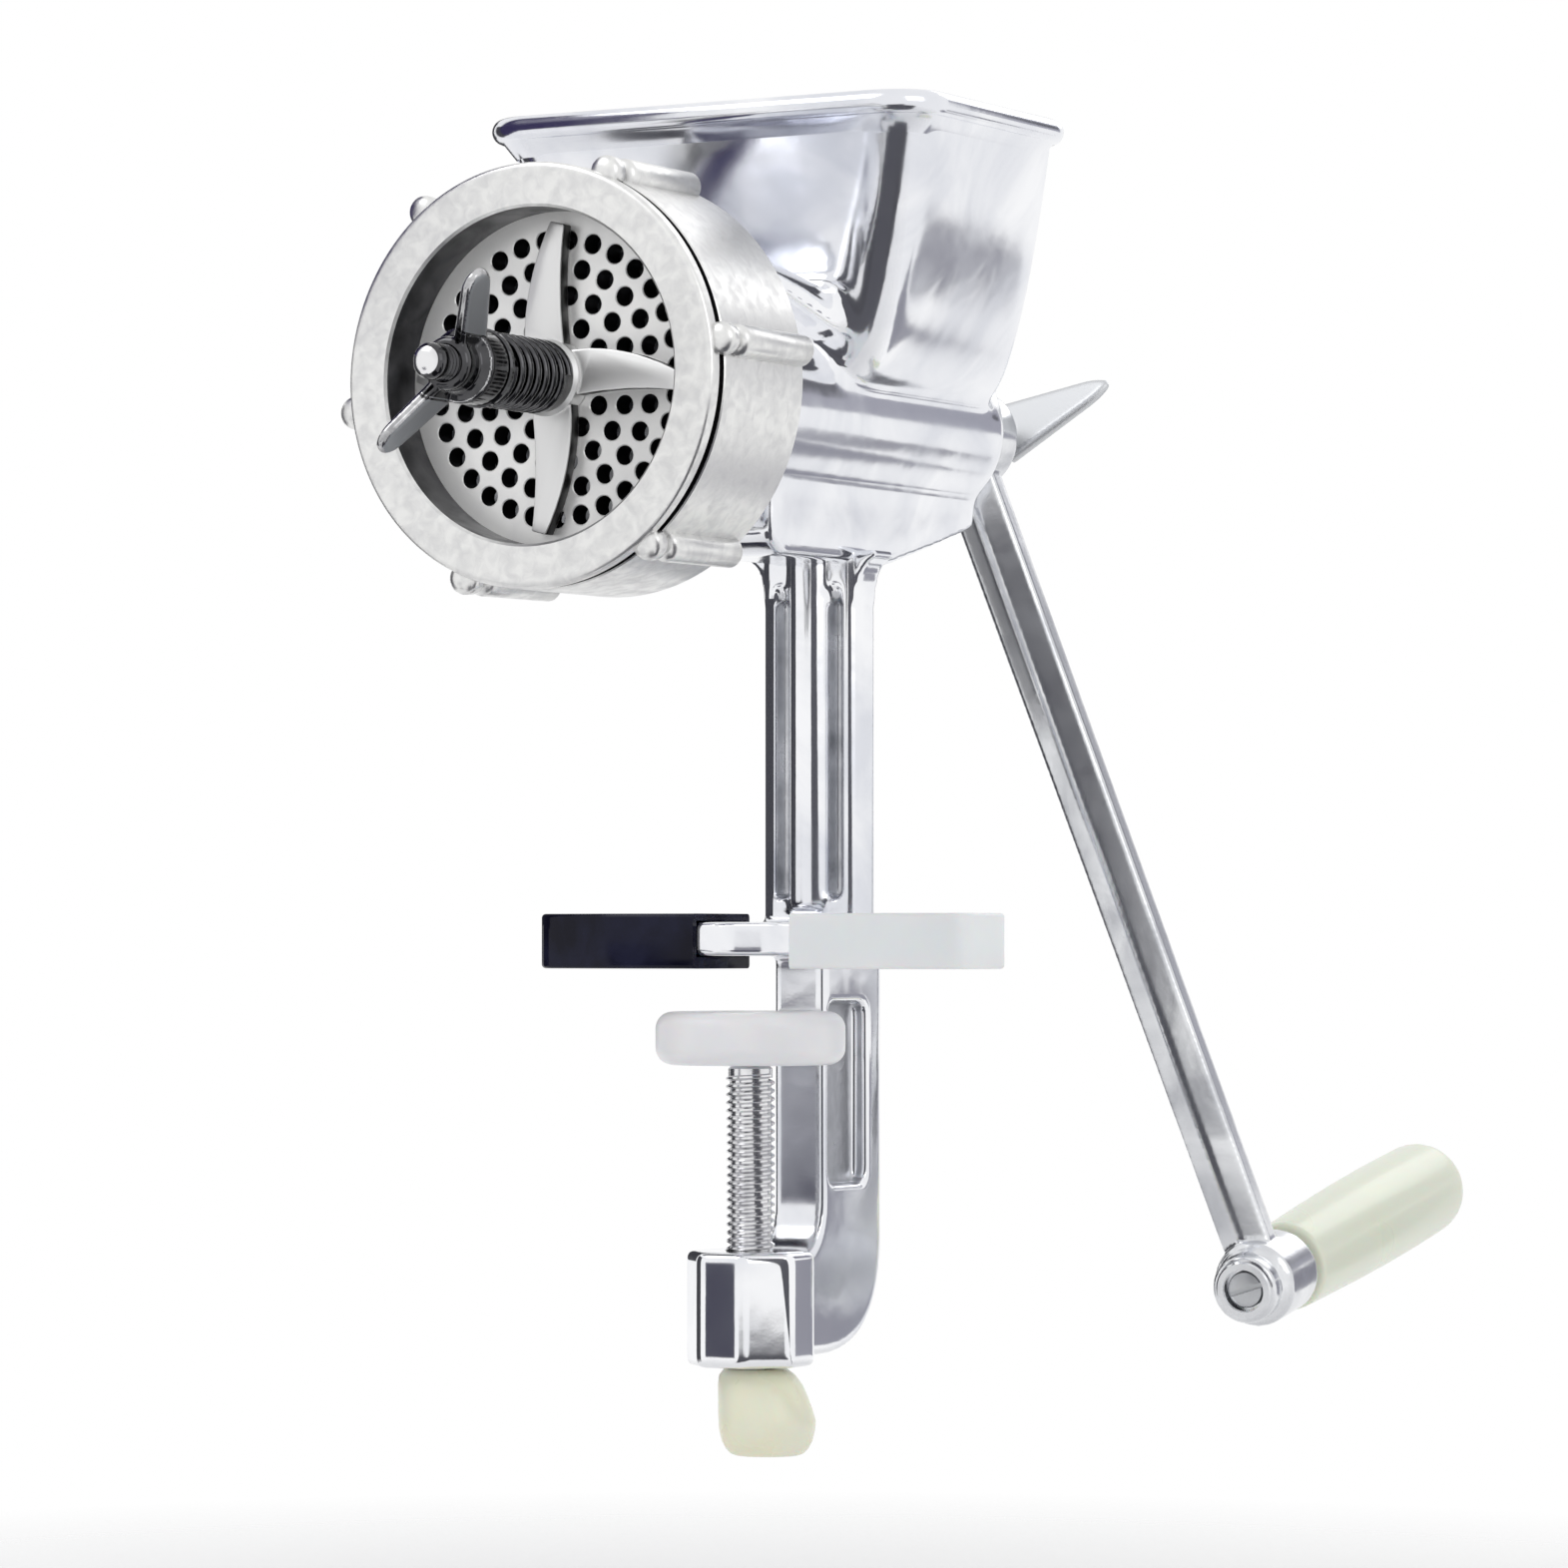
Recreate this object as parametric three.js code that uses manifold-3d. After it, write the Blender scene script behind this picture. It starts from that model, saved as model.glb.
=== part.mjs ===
// Hand crank meat grinder with a bench clamp, as an assembly of separate pieces.
//
// Frame, in millimetres: the origin lies on the table plane (the undersides of the two jaw pads),
// on the axis of the clamp screw. +Z is up, +Y is the crank end, -Y is the outlet end with the
// ring nut, and +X is the side that the crank hangs towards at rest.
import * as THREE from 'three';
import { ConvexGeometry } from 'three/addons/geometries/ConvexGeometry.js';
import { mergeVertices } from 'three/addons/utils/BufferGeometryUtils.js';
import Module from 'manifold-3d';

const wasm = await Module();
wasm.setup();

// ---------------------------------------------------------------------------------------------
// Driving dimensions
// ---------------------------------------------------------------------------------------------
const CLEARANCE = 0.3; // seating and running gap between neighbouring pieces
const OVERCUT = 2; // how far a cutting tool runs past the face it opens
const OVERLAP = 1; // how far two solids that become one run into each other
const WELD = 0.0005; // vertices closer than this are one vertex
const TURNED_EDGE = 1.2; // bevel on the edges of turned and cast pieces
const THREAD_EDGE = 0.8; // bevel at the end of a thread

// Barrel
const AXIS_HEIGHT = 132; // barrel axis above the table plane
const RING_FACE_REACH = 99; // ring nut's front face ahead of the clamp screw
const BEARING_REACH = 91; // rear face of the barrel behind the clamp screw
const TUBE_RADIUS = 21;
const TUBE_WALL = 4;
const FAIRING_START = 50; // the fairing over the barrel starts this many degrees up each side of the mouth
const SHOULDER_END = 46; // the shoulder cone reaches the tube this far ahead of the clamp screw
const BEARING_LENGTH = 15;
const BEARING_EDGE = 1.6; // chamfer on the barrel's rear edge
const MOUTH_WALL = 7;

// Ring nut
const RING_DIAMETER = 95;
const RING_DEPTH = 40;
const RING_WALL = 4.7;
const RING_OPENING = 75;
const RING_LIP = 12;
const RING_BEVEL = 1.2; // bevel round the front face
const RING_GROOVE_DEPTH = 1.4;
const RING_GROOVE_WIDTH = 2.2;
const RING_GROOVE_SETBACK = 3.4;
const RIB_COUNT = 6;
const RIB_FIRST_ANGLE = 22.5; // degrees clockwise from the top, seen from the outlet
const RIB_RADIUS = 3.7;
const RIB_STANDOFF = 0.6; // rib centre line outside the ring's cylinder
const RIB_DOME = 0.45; // length of a rib's rounded end, as a share of its radius
const RIB_END = 0.7; // radius of a rib's flat end, as a share of its radius
const NUB_LENGTH = 6;
const NUB_SETBACK = 1.2;
const NUB_NOTCH = 1.4;

// Die plate
const PLATE_DIAMETER = 84;
const PLATE_THICKNESS = 6;
const HOLE_DIAMETER = 4.4;
const HOLE_PITCH = 6.3; // round each ring of holes
const HOLE_RING_PITCH = 6; // least step from ring to ring
const HOLE_FIRST_RING = 12.6; // radius of the innermost ring of holes
const HOLE_MARGIN = 4.1; // metal between the outermost holes and the ring nut's opening
const PLATE_HUB_RADIUS = 6.6; // bore for the centre bush
const KEY_RADIUS = 1.5;
const KEY_LENGTH = 9;

// Front stud, cutter, spring and wing nut
const STUD_RADIUS = 4;
const STUD_FLATS = 6.4; // across the two flats that drive the cutter
const STUD_PROJECTION = 42; // stud end ahead of the ring nut's face
const STUD_GRIP = 16; // stud length screwed into the auger
const BLADE_COUNT = 4;
const BLADE_RADIUS = 35;
const BLADE_THICKNESS = 3.6;
const BLADE_ROOT_WIDTH = 10.5;
const BLADE_TIP_WIDTH = 3.6;
const BLADE_LEAN = 2.4; // how far a tip stands off its blade's middle line
const BLADE_BELLY = 3.4; // how far the leading edge swells and the trailing edge draws in
const CUTTER_HUB_RADIUS = 8.6;
const CUTTER_HUB_LENGTH = 5.2;
const SPRING_LENGTH = 25;
const SPRING_RADIUS = 7.4; // to the wire's centre
const SPRING_WIRE = 2;
const SPRING_TURNS = 7;
const WIRE_SIDES = 6;
const WASHER_THICKNESS = 1.6;
const SEAT_WASHER_RADIUS = 8.8;
const NUT_COLLAR_RADIUS = 8.4;
const NUT_COLLAR_LENGTH = 8;
const NUT_NECK_RADIUS = 6;
const NUT_NECK_LENGTH = 5.5;
const WING_REACH = 22.5;
const WING_THICKNESS = 3.4;
const WING_WIDTH = 9.5;
const WING_FLARE = 13; // how far a wing's tip leans away from its seat
const WING_NUT_ANGLE = 56; // degrees of the upper wing above +X at rest

// Auger
const FLIGHT_CLEARANCE = 0.8;
const FLIGHT_THICKNESS = 3.2;
const FLIGHT_PITCH = 24;
const AUGER_CORE_RADIUS = 8;
const AUGER_HEAD_CORE = 13;
const AUGER_HEAD_GAP = 4; // between the die plate's back and the auger's head
const FLIGHT_ROOT = 0.6; // where the flight starts inside the core, as a share of the core's radius
const JOURNAL_RADIUS = 9;
const BUSH_WALL = 2.2;
const THRUST_WASHER_THICKNESS = 1.5;
const DRIVE_SQUARE = 11; // across the flats of the square that drives the crank

// Hopper
const RIM_HEIGHT = 69; // rim top above the barrel axis
const RIM_THICKNESS = 5.6;
const RIM_OVERHANG = 2.6;
const HOPPER_WIDTH = 116;
const HOPPER_LENGTH = 76;
const HOPPER_CENTRE = 13; // rim centre behind the clamp screw
const HOPPER_WALL = 3;
const HOPPER_CORNER = 11;
const THROAT_WIDTH = 38;
const THROAT_LENGTH = 74;
const THROAT_CENTRE = 49.5; // throat centre behind the clamp screw
const THROAT_RISE = 5; // hopper's lowest section above the barrel axis
const THROAT_CORNER = 8;
const HOPPER_STEPS = 6;

// Keel and post
const KEEL_THICKNESS = 25;
const KEEL_DROP = 35.4; // keel underside below the barrel axis
const KEEL_FRONT = 12; // ahead of the clamp screw
const KEEL_HEEL = 47; // where the underside starts to rise, behind the clamp screw
const KEEL_REAR_DROP = 24;
const POST_SETBACK = 33; // post centre behind the clamp screw
const POST_WIDTH = 26;
const POST_DEPTH = 12;
const POST_CORNER = 2;
const POST_FLARE = 9; // fillet where the post meets the keel
const POCKET_WIDTH = 3.2;
const POCKET_DEPTH = 3.6;
const POCKET_END_MARGIN = 6;
const RIB_BEAD_RADIUS = 5.8;
const FLANGE_WIDTH = 4.2;

// Upper jaw and pads
const PAD_FLOOR = 3; // pad thickness under the metal
const PAD_SKIN = 2; // pad thickness round and over the metal
const JAW_THICKNESS = 8;
const JAW_SPAN = 113; // over the metal arms
const JAW_FRONT = 1; // front of the metal at the middle, ahead of the clamp screw
const JAW_CORNER_REACH = 3; // front corner of an arm, further ahead
const JAW_CORNER_AT = 38; // that corner's distance from the middle
const JAW_REAR = 20; // rear edge of the arms behind the clamp screw
const JAW_TIP_RADIUS = 5;
const PAD_START = 13; // inner end of a pad from the middle

// C-arm and threaded boss
const ARM_WIDTH = 13.7;
const ARM_DEPTH = 29; // from the C-arm's front face to its rear face
const ARM_SCOOP_DEPTH = 4;
const ARM_FRONT_FLANGE = 3;
const ARM_REAR_FLANGE = 8;
const BOSS_ACROSS_FLATS = 28.5;
const BOSS_TOP_DROP = 66; // boss top below the table plane
const BOSS_LENGTH = 27;
const BOSS_BEVEL = 1.6;

// Clamp screw, disc and knob
const SCREW_RADIUS = 5.7;
const DISC_RADIUS = 22.3;
const DISC_MARGIN = 0.5; // between the disc's edge and the C-arm
const DISC_THICKNESS = 12.5;
const DISC_DROP = 10; // disc top below the table plane at rest
const DISC_ROUNDING = 4;
const SPIGOT_RADIUS = 3.6;
const SPIGOT_LENGTH = 9;
const GROOVE_DEPTH = 1; // groove round the spigot for the snap ring
const RETAINER_RADIUS = 6;
const RETAINER_THICKNESS = 1.4;
const KNOB_RADIUS = 11.4;
const KNOB_OFFSET = 4.5; // the knob's bulk stands off the screw's axis
const KNOB_HEIGHT = 20;
const KNOB_TOP_RADIUS = 7.4;
const KNOB_BASE_RADIUS = 9;
const KNOB_PIN_RADIUS = 1.5;
const KNOB_SOCKET = 13; // depth of the screw's end inside the knob
const KNOB_NECK_RADIUS = 4.6;

// Crank and grip
const CRANK_REST_ANGLE = 17.2; // degrees that the arm hangs towards +X at rest
const CRANK_DROP = 219.5; // from the barrel axis to the grip boss, square to the axis
const CRANK_LEAN = 10.3; // degrees that the arm leans away from the barrel
const HUB_RADIUS = 12.5;
const HUB_LENGTH = 21;
const HUB_GAP = 0.9;
const CRANK_WIDTH_TOP = 13.5;
const CRANK_WIDTH_END = 12.5;
const CRANK_THICKNESS = 9.5;
const CRANK_CORNER = 2.6; // bevel on the arm's rear edges
const CRANK_EDGE = 0.8; // bevel on the arm's front edges
const CRANK_SLOPE_RIGHT = 2.8; // how far the arm's front falls back from its ridge to its right edge
const CRANK_SLOPE_LEFT = 1.4;
const CRANK_RIDGE = -0.4; // the ridge stands this far right of the arm's middle
const BOSS_RADIUS = 10.6;
const BOSS_DEPTH = 25;
const BOSS_NOSE_RADIUS = 8.5;
const BOSS_NOSE_LENGTH = 6;
const CRANK_BOSS_EDGE = 1.8; // bevel on the boss that carries the grip
const RECESS_RADIUS = 5.2;
const RECESS_DEPTH = 3;
const GRIP_LENGTH = 103;
const GRIP_RADIUS = 11.2;
const GRIP_BULGE = 1.3;
const GRIP_WAVE = 0.7; // share of a half wave that the bulge runs through along the grip
const GRIP_DOME = 0.8; // length of the domed end, as a share of the grip's radius
const GRIP_BOLT_RADIUS = 3;
const GRIP_BOLT_HEAD_RADIUS = 4.6;
const GRIP_BOLT_HEAD = 2.2;
const BOLT_SLOT = 1.2; // screwdriver slot's width
const GRIP_BOLT_REACH = 66; // bolt length inside the grip
const GRIP_CAP_CROWN = 1; // how far the cap stands proud of the grip's end
const GRIP_CAP_FLAT = 0.6; // share of the cap's radius that is flat
const GRIP_WASHER_RADIUS = 8;
const GRIP_WASHER_THICKNESS = 1.2;
const WING_SCREW_RADIUS = 3;
const WING_SCREW_REACH = 22; // thread length inside the auger
const CRANK_WASHER_RADIUS = 9.4;
const SCREW_COLLAR_RADIUS = 7.6;
const SCREW_COLLAR_LENGTH = 8;
const SCREW_WING_REACH = 34;
const SCREW_WING_ANGLE = 24; // degrees of the right wing above +X at rest
const SCREW_WING_WIDTH = 19;
const SCREW_WING_TIP = 0.24; // tip width as a share of the root's
const SCREW_WING_TWIST = 62; // degrees that a wing is turned flat across the axis
const NUT_WING_TIP = 0.8;

// How finely round shapes are divided
const FINE = 40;
const MEDIUM = 20;
const COARSE = 12;
const HOLE_SIDES = 6;
const FAIRING_STEPS = 12;
const DISC_SIDES = 32;
const RIB_SIDES = 10;
const FLIGHT_STEPS = 10; // per turn of the auger's flight
const SPRING_STEPS = 10; // per turn of the spring

// ---------------------------------------------------------------------------------------------
// Stations that follow from the sizes above
// ---------------------------------------------------------------------------------------------
const ringFace = -RING_FACE_REACH;
const ringBack = ringFace + RING_DEPTH;
const ringRadius = RING_DIAMETER / 2;
const ringBore = ringRadius - RING_WALL;
const plateFront = ringFace + RING_LIP + CLEARANCE;
const plateBack = plateFront + PLATE_THICKNESS;
const mouthFace = plateBack + CLEARANCE;
const mouthRadius = ringBore - CLEARANCE;
const chamberRadius = TUBE_RADIUS - TUBE_WALL;
const mouthBore = mouthRadius - MOUTH_WALL;
const bearingInner = BEARING_REACH - BEARING_LENGTH;
const bushRadius = JOURNAL_RADIUS + CLEARANCE + BUSH_WALL;
const rimTop = AXIS_HEIGHT + RIM_HEIGHT;
const throatHeight = AXIS_HEIGHT + THROAT_RISE;
const keelUnderside = AXIS_HEIGHT - KEEL_DROP;
const armFront = DISC_RADIUS + DISC_MARGIN;
const armRear = armFront + ARM_DEPTH;
const jawBottom = PAD_FLOOR;
const jawTop = PAD_FLOOR + JAW_THICKNESS;
const postFront = POST_SETBACK - POST_DEPTH / 2;
const postRear = POST_SETBACK + POST_DEPTH / 2;
const bossTop = -BOSS_TOP_DROP;
const bossBottom = bossTop - BOSS_LENGTH;
const discTop = -DISC_DROP;
const discBottom = discTop - DISC_THICKNESS;
const studTip = ringFace - STUD_PROJECTION;
const augerFront = plateBack + AUGER_HEAD_GAP;
const hubFront = BEARING_REACH + HUB_GAP;
const hubBack = hubFront + HUB_LENGTH;
const crankPivot = (hubFront + hubBack) / 2;
const rad = THREE.MathUtils.degToRad;

// ---------------------------------------------------------------------------------------------
// Solid helpers
// ---------------------------------------------------------------------------------------------

/** Turns a closed three.js geometry into a manifold solid with its faces pointing out. */
function solid(geometry) {
  const bare = geometry.index ? geometry.toNonIndexed() : geometry.clone();
  for (const name of Object.keys(bare.attributes)) {
    if (name !== 'position') bare.deleteAttribute(name);
  }
  const merged = mergeVertices(bare, WELD);
  const position = merged.getAttribute('position');
  const index = merged.index.array;
  const corners = [];
  let volume = 0;
  const a = new THREE.Vector3();
  const b = new THREE.Vector3();
  const c = new THREE.Vector3();
  for (let i = 0; i < index.length; i += 3) {
    const [p, q, r] = [index[i], index[i + 1], index[i + 2]];
    if (p === q || q === r || r === p) continue;
    corners.push(p, q, r);
    a.fromBufferAttribute(position, p);
    b.fromBufferAttribute(position, q);
    c.fromBufferAttribute(position, r);
    volume += a.dot(b.cross(c));
  }
  if (volume < 0) {
    for (let i = 0; i < corners.length; i += 3) {
      [corners[i], corners[i + 1]] = [corners[i + 1], corners[i]];
    }
  }
  return new wasm.Manifold(new wasm.Mesh({
    numProp: 3,
    vertProperties: new Float32Array(position.array),
    triVerts: new Uint32Array(corners),
  }));
}

/** Joins solids into one. */
function join(first, ...others) {
  return others.reduce((body, other) => body.add(other), first);
}

/** Cuts each tool away from a solid. */
function cut(body, ...tools) {
  return tools.reduce((rest, tool) => rest.subtract(tool), body);
}

/** Gives a manifold solid back as a three.js geometry. */
function toGeometry(body) {
  const mesh = body.getMesh();
  const points = new Float32Array(mesh.numVert * 3);
  for (let i = 0; i < mesh.numVert; i += 1) {
    for (let k = 0; k < 3; k += 1) points[3 * i + k] = mesh.vertProperties[mesh.numProp * i + k];
  }
  const geometry = new THREE.BufferGeometry();
  geometry.setAttribute('position', new THREE.BufferAttribute(points, 3));
  geometry.setIndex(Array.from(mesh.triVerts));
  geometry.computeVertexNormals();
  return geometry;
}

/** Solid of revolution about the local Y axis from [radius, y] corners that close on themselves. */
function turned(profile, segments = MEDIUM) {
  const points = profile.map(([radius, y]) => new THREE.Vector2(radius, y));
  points.push(points[0].clone());
  return solid(new THREE.LatheGeometry(points, segments));
}

/** Plain cylinder about the local Y axis between two stations. */
function rod(radius, from, to, segments = MEDIUM) {
  const shape = new THREE.CylinderGeometry(radius, radius, to - from, segments);
  shape.translate(0, (from + to) / 2, 0);
  return solid(shape);
}

/** Ring about the local Y axis between two stations. */
function ring(outer, inner, from, to, segments = MEDIUM) {
  return turned([[inner, from], [outer, from], [outer, to], [inner, to]], segments);
}

/** Box given by its lowest and highest corners. */
function block(low, high) {
  const size = high.map((value, i) => value - low[i]);
  const shape = new THREE.BoxGeometry(...size);
  shape.translate(...high.map((value, i) => (value + low[i]) / 2));
  return solid(shape);
}

/** Upright cylinder about Z between two heights. */
function upright(radius, from, to, segments = MEDIUM) {
  return solid(new THREE.CylinderGeometry(radius, radius, to - from, segments)
    .rotateX(Math.PI / 2).translate(0, 0, (from + to) / 2));
}

/** Solid of revolution about Z from [radius, z] corners. */
function turnedUpright(profile, segments = MEDIUM) {
  const points = profile.map(([radius, z]) => new THREE.Vector2(radius, z));
  points.push(points[0].clone());
  return solid(new THREE.LatheGeometry(points, segments).rotateX(Math.PI / 2));
}

/** Prism from a shape drawn in X and Y, standing between two heights. */
function prismUp(shape, from, to, curveSegments = 8) {
  const geometry = new THREE.ExtrudeGeometry(shape, { depth: to - from, bevelEnabled: false, curveSegments });
  return solid(geometry.translate(0, 0, from));
}

/** Prism from a shape drawn in Y and Z, running across X by width about the middle. */
function prismAcross(shape, width, centre = 0, curveSegments = 8) {
  const geometry = new THREE.ExtrudeGeometry(shape, { depth: width, bevelEnabled: false, curveSegments });
  const basis = new THREE.Matrix4().makeBasis(
    new THREE.Vector3(0, 1, 0), new THREE.Vector3(0, 0, 1), new THREE.Vector3(1, 0, 0));
  return solid(geometry.applyMatrix4(basis).translate(centre - width / 2, 0, 0));
}

/** Prism from a shape drawn in X and Z, running along Y between two stations. */
function prismAlong(shape, from, to, curveSegments = 8) {
  const geometry = new THREE.ExtrudeGeometry(shape, { depth: to - from, bevelEnabled: false, curveSegments });
  return solid(geometry.rotateX(Math.PI / 2).translate(0, to, 0));
}

/** Closed outline of straight lines. */
function polygon(points) {
  return new THREE.Shape(points.map(([x, y]) => new THREE.Vector2(x, y)));
}

/** Rectangle with rounded corners, by its low and high corners. */
function roundedRectangle(x0, y0, x1, y1, radius) {
  const shape = new THREE.Shape();
  shape.moveTo(x0 + radius, y0);
  shape.lineTo(x1 - radius, y0);
  shape.absarc(x1 - radius, y0 + radius, radius, -Math.PI / 2, 0, false);
  shape.lineTo(x1, y1 - radius);
  shape.absarc(x1 - radius, y1 - radius, radius, 0, Math.PI / 2, false);
  shape.lineTo(x0 + radius, y1);
  shape.absarc(x0 + radius, y1 - radius, radius, Math.PI / 2, Math.PI, false);
  shape.lineTo(x0, y0 + radius);
  shape.absarc(x0 + radius, y0 + radius, radius, Math.PI, 1.5 * Math.PI, false);
  return shape;
}

/** Closed solid through a row of rings that have equally many points, with flat ends. */
function loft(rings) {
  const count = rings[0].length;
  const points = [];
  for (const loop of rings) {
    for (const point of loop) points.push(point.x, point.y, point.z);
  }
  const index = [];
  for (let row = 0; row < rings.length - 1; row += 1) {
    for (let i = 0; i < count; i += 1) {
      const [a, b] = [row * count + i, row * count + (i + 1) % count];
      index.push(a, b, b + count, a, b + count, a + count);
    }
  }
  const last = (rings.length - 1) * count;
  for (let i = 1; i < count - 1; i += 1) {
    index.push(0, i + 1, i, last, last + i, last + i + 1);
  }
  const geometry = new THREE.BufferGeometry();
  geometry.setAttribute('position', new THREE.Float32BufferAttribute(points, 3));
  geometry.setIndex(index);
  return solid(geometry);
}

/** Moves a solid by way of a three.js matrix. */
function placed(body, matrix) {
  return body.transform(matrix.elements);
}

/** A matrix that turns about the local Y axis. */
function aboutY(degrees) {
  return new THREE.Matrix4().makeRotationY(rad(degrees));
}

/** A matrix that only shifts. */
function shift(x, y, z) {
  return new THREE.Matrix4().makeTranslation(x, y, z);
}

/** Ring of points of a rounded rectangle, level at one height. */
function levelRing(width, length, centreY, corner, height, steps = 3) {
  const loop = [];
  const corners = [[1, -1, -90], [1, 1, 0], [-1, 1, 90], [-1, -1, 180]];
  for (const [sideX, sideY, start] of corners) {
    for (let i = 0; i <= steps; i += 1) {
      const angle = rad(start + (90 * i) / steps);
      loop.push(new THREE.Vector3(
        sideX * (width / 2 - corner) + corner * Math.cos(angle),
        centreY + sideY * (length / 2 - corner) + corner * Math.sin(angle),
        height));
    }
  }
  return loop;
}

// ---------------------------------------------------------------------------------------------
// Materials
// ---------------------------------------------------------------------------------------------
const finishes = {
  castAluminium: { color: 0xc9cdd4, roughness: 0.22, metalness: 1 },
  satinAluminium: { color: 0xd4d5d3, roughness: 0.42, metalness: 1 },
  brightPlate: { color: 0xe4e4e2, roughness: 0.3, metalness: 1 },
  bladeSteel: { color: 0xc2c3c4, roughness: 0.3, metalness: 1 },
  darkSteel: { color: 0x55575b, roughness: 0.25, metalness: 1 },
  plainSteel: { color: 0x9a9ca0, roughness: 0.3, metalness: 1 },
  bronze: { color: 0xa8773c, roughness: 0.35, metalness: 1 },
  blackPlastic: { color: 0x0b0b18, roughness: 0.15, metalness: 0 },
  milkPlastic: { color: 0xe4e6ea, roughness: 0.35, metalness: 0 },
  paleGrip: { color: 0xe4e8d2, roughness: 0.35, metalness: 0 },
  paleKnob: { color: 0xe8e8cc, roughness: 0.35, metalness: 0 },
};

/** A named mesh with a material of its own. */
function piece(name, body, finish) {
  const mesh = new THREE.Mesh(toGeometry(body), new THREE.MeshStandardMaterial(finishes[finish]));
  mesh.name = name;
  return mesh;
}

// ---------------------------------------------------------------------------------------------
// Casting
// ---------------------------------------------------------------------------------------------

/** Share of the way from throat to rim that a wall has spread at a share of the height. */
function spread(share) {
  return {
    width: share ** 0.6,
    length: share ** 0.7,
  };
}

/** Hopper sections from the throat up, grown outwards by grow. */
function hopperSections(grow, top) {
  const sections = [];
  for (let i = 0; i <= HOPPER_STEPS; i += 1) {
    const share = i / HOPPER_STEPS;
    const part = spread(share);
    const width = THREE.MathUtils.lerp(THROAT_WIDTH, HOPPER_WIDTH, part.width);
    const length = THREE.MathUtils.lerp(THROAT_LENGTH, HOPPER_LENGTH, part.length);
    const centre = THREE.MathUtils.lerp(THROAT_CENTRE, HOPPER_CENTRE, part.length);
    const corner = THREE.MathUtils.lerp(THROAT_CORNER, HOPPER_CORNER, share);
    const height = THREE.MathUtils.lerp(throatHeight, top, share);
    sections.push(levelRing(width + 2 * grow, length + 2 * grow, centre, corner + grow, height));
  }
  return sections;
}

/** Outside of the hopper with its rolled rim. */
function hopperOutside() {
  const walls = loft(hopperSections(0, rimTop - RIM_THICKNESS / 2));
  const rimHalf = RIM_THICKNESS / 2;
  const rimRows = [];
  for (const angle of [-90, -45, 0, 45, 90]) {
    const reach = RIM_OVERHANG * Math.cos(rad(angle));
    const height = rimTop - rimHalf + rimHalf * Math.sin(rad(angle));
    rimRows.push(levelRing(
      HOPPER_WIDTH + 2 * reach, HOPPER_LENGTH + 2 * reach, HOPPER_CENTRE, HOPPER_CORNER + reach, height));
  }
  return join(walls, loft(rimRows));
}

/** Space inside the hopper, from the throat up through the rim. */
function hopperInside() {
  const sections = hopperSections(-HOPPER_WALL, rimTop - RIM_THICKNESS / 2);
  const lowest = sections[0].map((point) => new THREE.Vector3(point.x, point.y, AXIS_HEIGHT));
  const highest = sections[HOPPER_STEPS].map((point) => new THREE.Vector3(point.x, point.y, rimTop + OVERCUT));
  return loft([lowest, ...sections, highest]);
}

/** Outside of the barrel about the local Y axis: mouth, shoulder cone, tube and rear bearing. */
function barrelOutside() {
  return turned([
    [0, mouthFace],
    [mouthRadius, mouthFace],
    [mouthRadius, ringBack],
    [mouthRadius - RING_WALL, ringBack + RING_WALL],
    [TUBE_RADIUS, TUBE_WALL / 2 - SHOULDER_END],
    [TUBE_RADIUS, BEARING_REACH - BEARING_EDGE],
    [TUBE_RADIUS - BEARING_EDGE, BEARING_REACH],
    [0, BEARING_REACH],
  ], FINE);
}

/** Space inside the barrel, with the rear bearing bore. */
function barrelInside() {
  return turned([
    [0, mouthFace - OVERCUT],
    [mouthBore, mouthFace - OVERCUT],
    [mouthBore, ringBack],
    [chamberRadius, -SHOULDER_END],
    [chamberRadius, bearingInner],
    [bushRadius + CLEARANCE, bearingInner],
    [bushRadius + CLEARANCE, BEARING_REACH + OVERCUT],
    [0, BEARING_REACH + OVERCUT],
  ], FINE);
}

/** Fairing that carries the barrel's mouth up into the hopper's front wall. */
function shoulder() {
  const points = [];
  const mouth = mouthRadius - RING_WALL / 2;
  for (let i = 0; i <= FAIRING_STEPS; i += 1) {
    const angle = THREE.MathUtils.lerp(rad(FAIRING_START), Math.PI - rad(FAIRING_START), i / FAIRING_STEPS);
    points.push(new THREE.Vector3(
      mouth * Math.cos(angle), ringBack + RING_WALL / 2, AXIS_HEIGHT + mouth * Math.sin(angle)));
    points.push(new THREE.Vector3(
      chamberRadius * Math.cos(angle),
      THROAT_CENTRE - THROAT_LENGTH / 2 + HOPPER_WALL / 2,
      AXIS_HEIGHT + chamberRadius * Math.sin(angle)));
  }
  const sections = hopperSections(-HOPPER_WALL / 2, rimTop - RIM_THICKNESS / 2);
  const half = mouth * Math.cos(rad(FAIRING_START));
  for (const row of [1, 2]) {
    const front = Math.min(...sections[row].map((point) => point.y));
    const height = sections[row][0].z;
    points.push(new THREE.Vector3(-half, front, height), new THREE.Vector3(half, front, height));
  }
  return solid(new ConvexGeometry(points));
}

/** Keel under the tube that carries the load down into the post. */
function keel() {
  const rearBottom = AXIS_HEIGHT - KEEL_REAR_DROP;
  const top = AXIS_HEIGHT - chamberRadius / 2;
  return prismAcross(polygon([
    [-KEEL_FRONT, top],
    [-KEEL_FRONT, keelUnderside + KEEL_FRONT / 3],
    [-KEEL_FRONT / 2, keelUnderside],
    [KEEL_HEEL, keelUnderside],
    [BEARING_REACH - BEARING_EDGE, rearBottom],
    [BEARING_REACH - BEARING_EDGE, top],
  ]), KEEL_THICKNESS);
}

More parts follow.
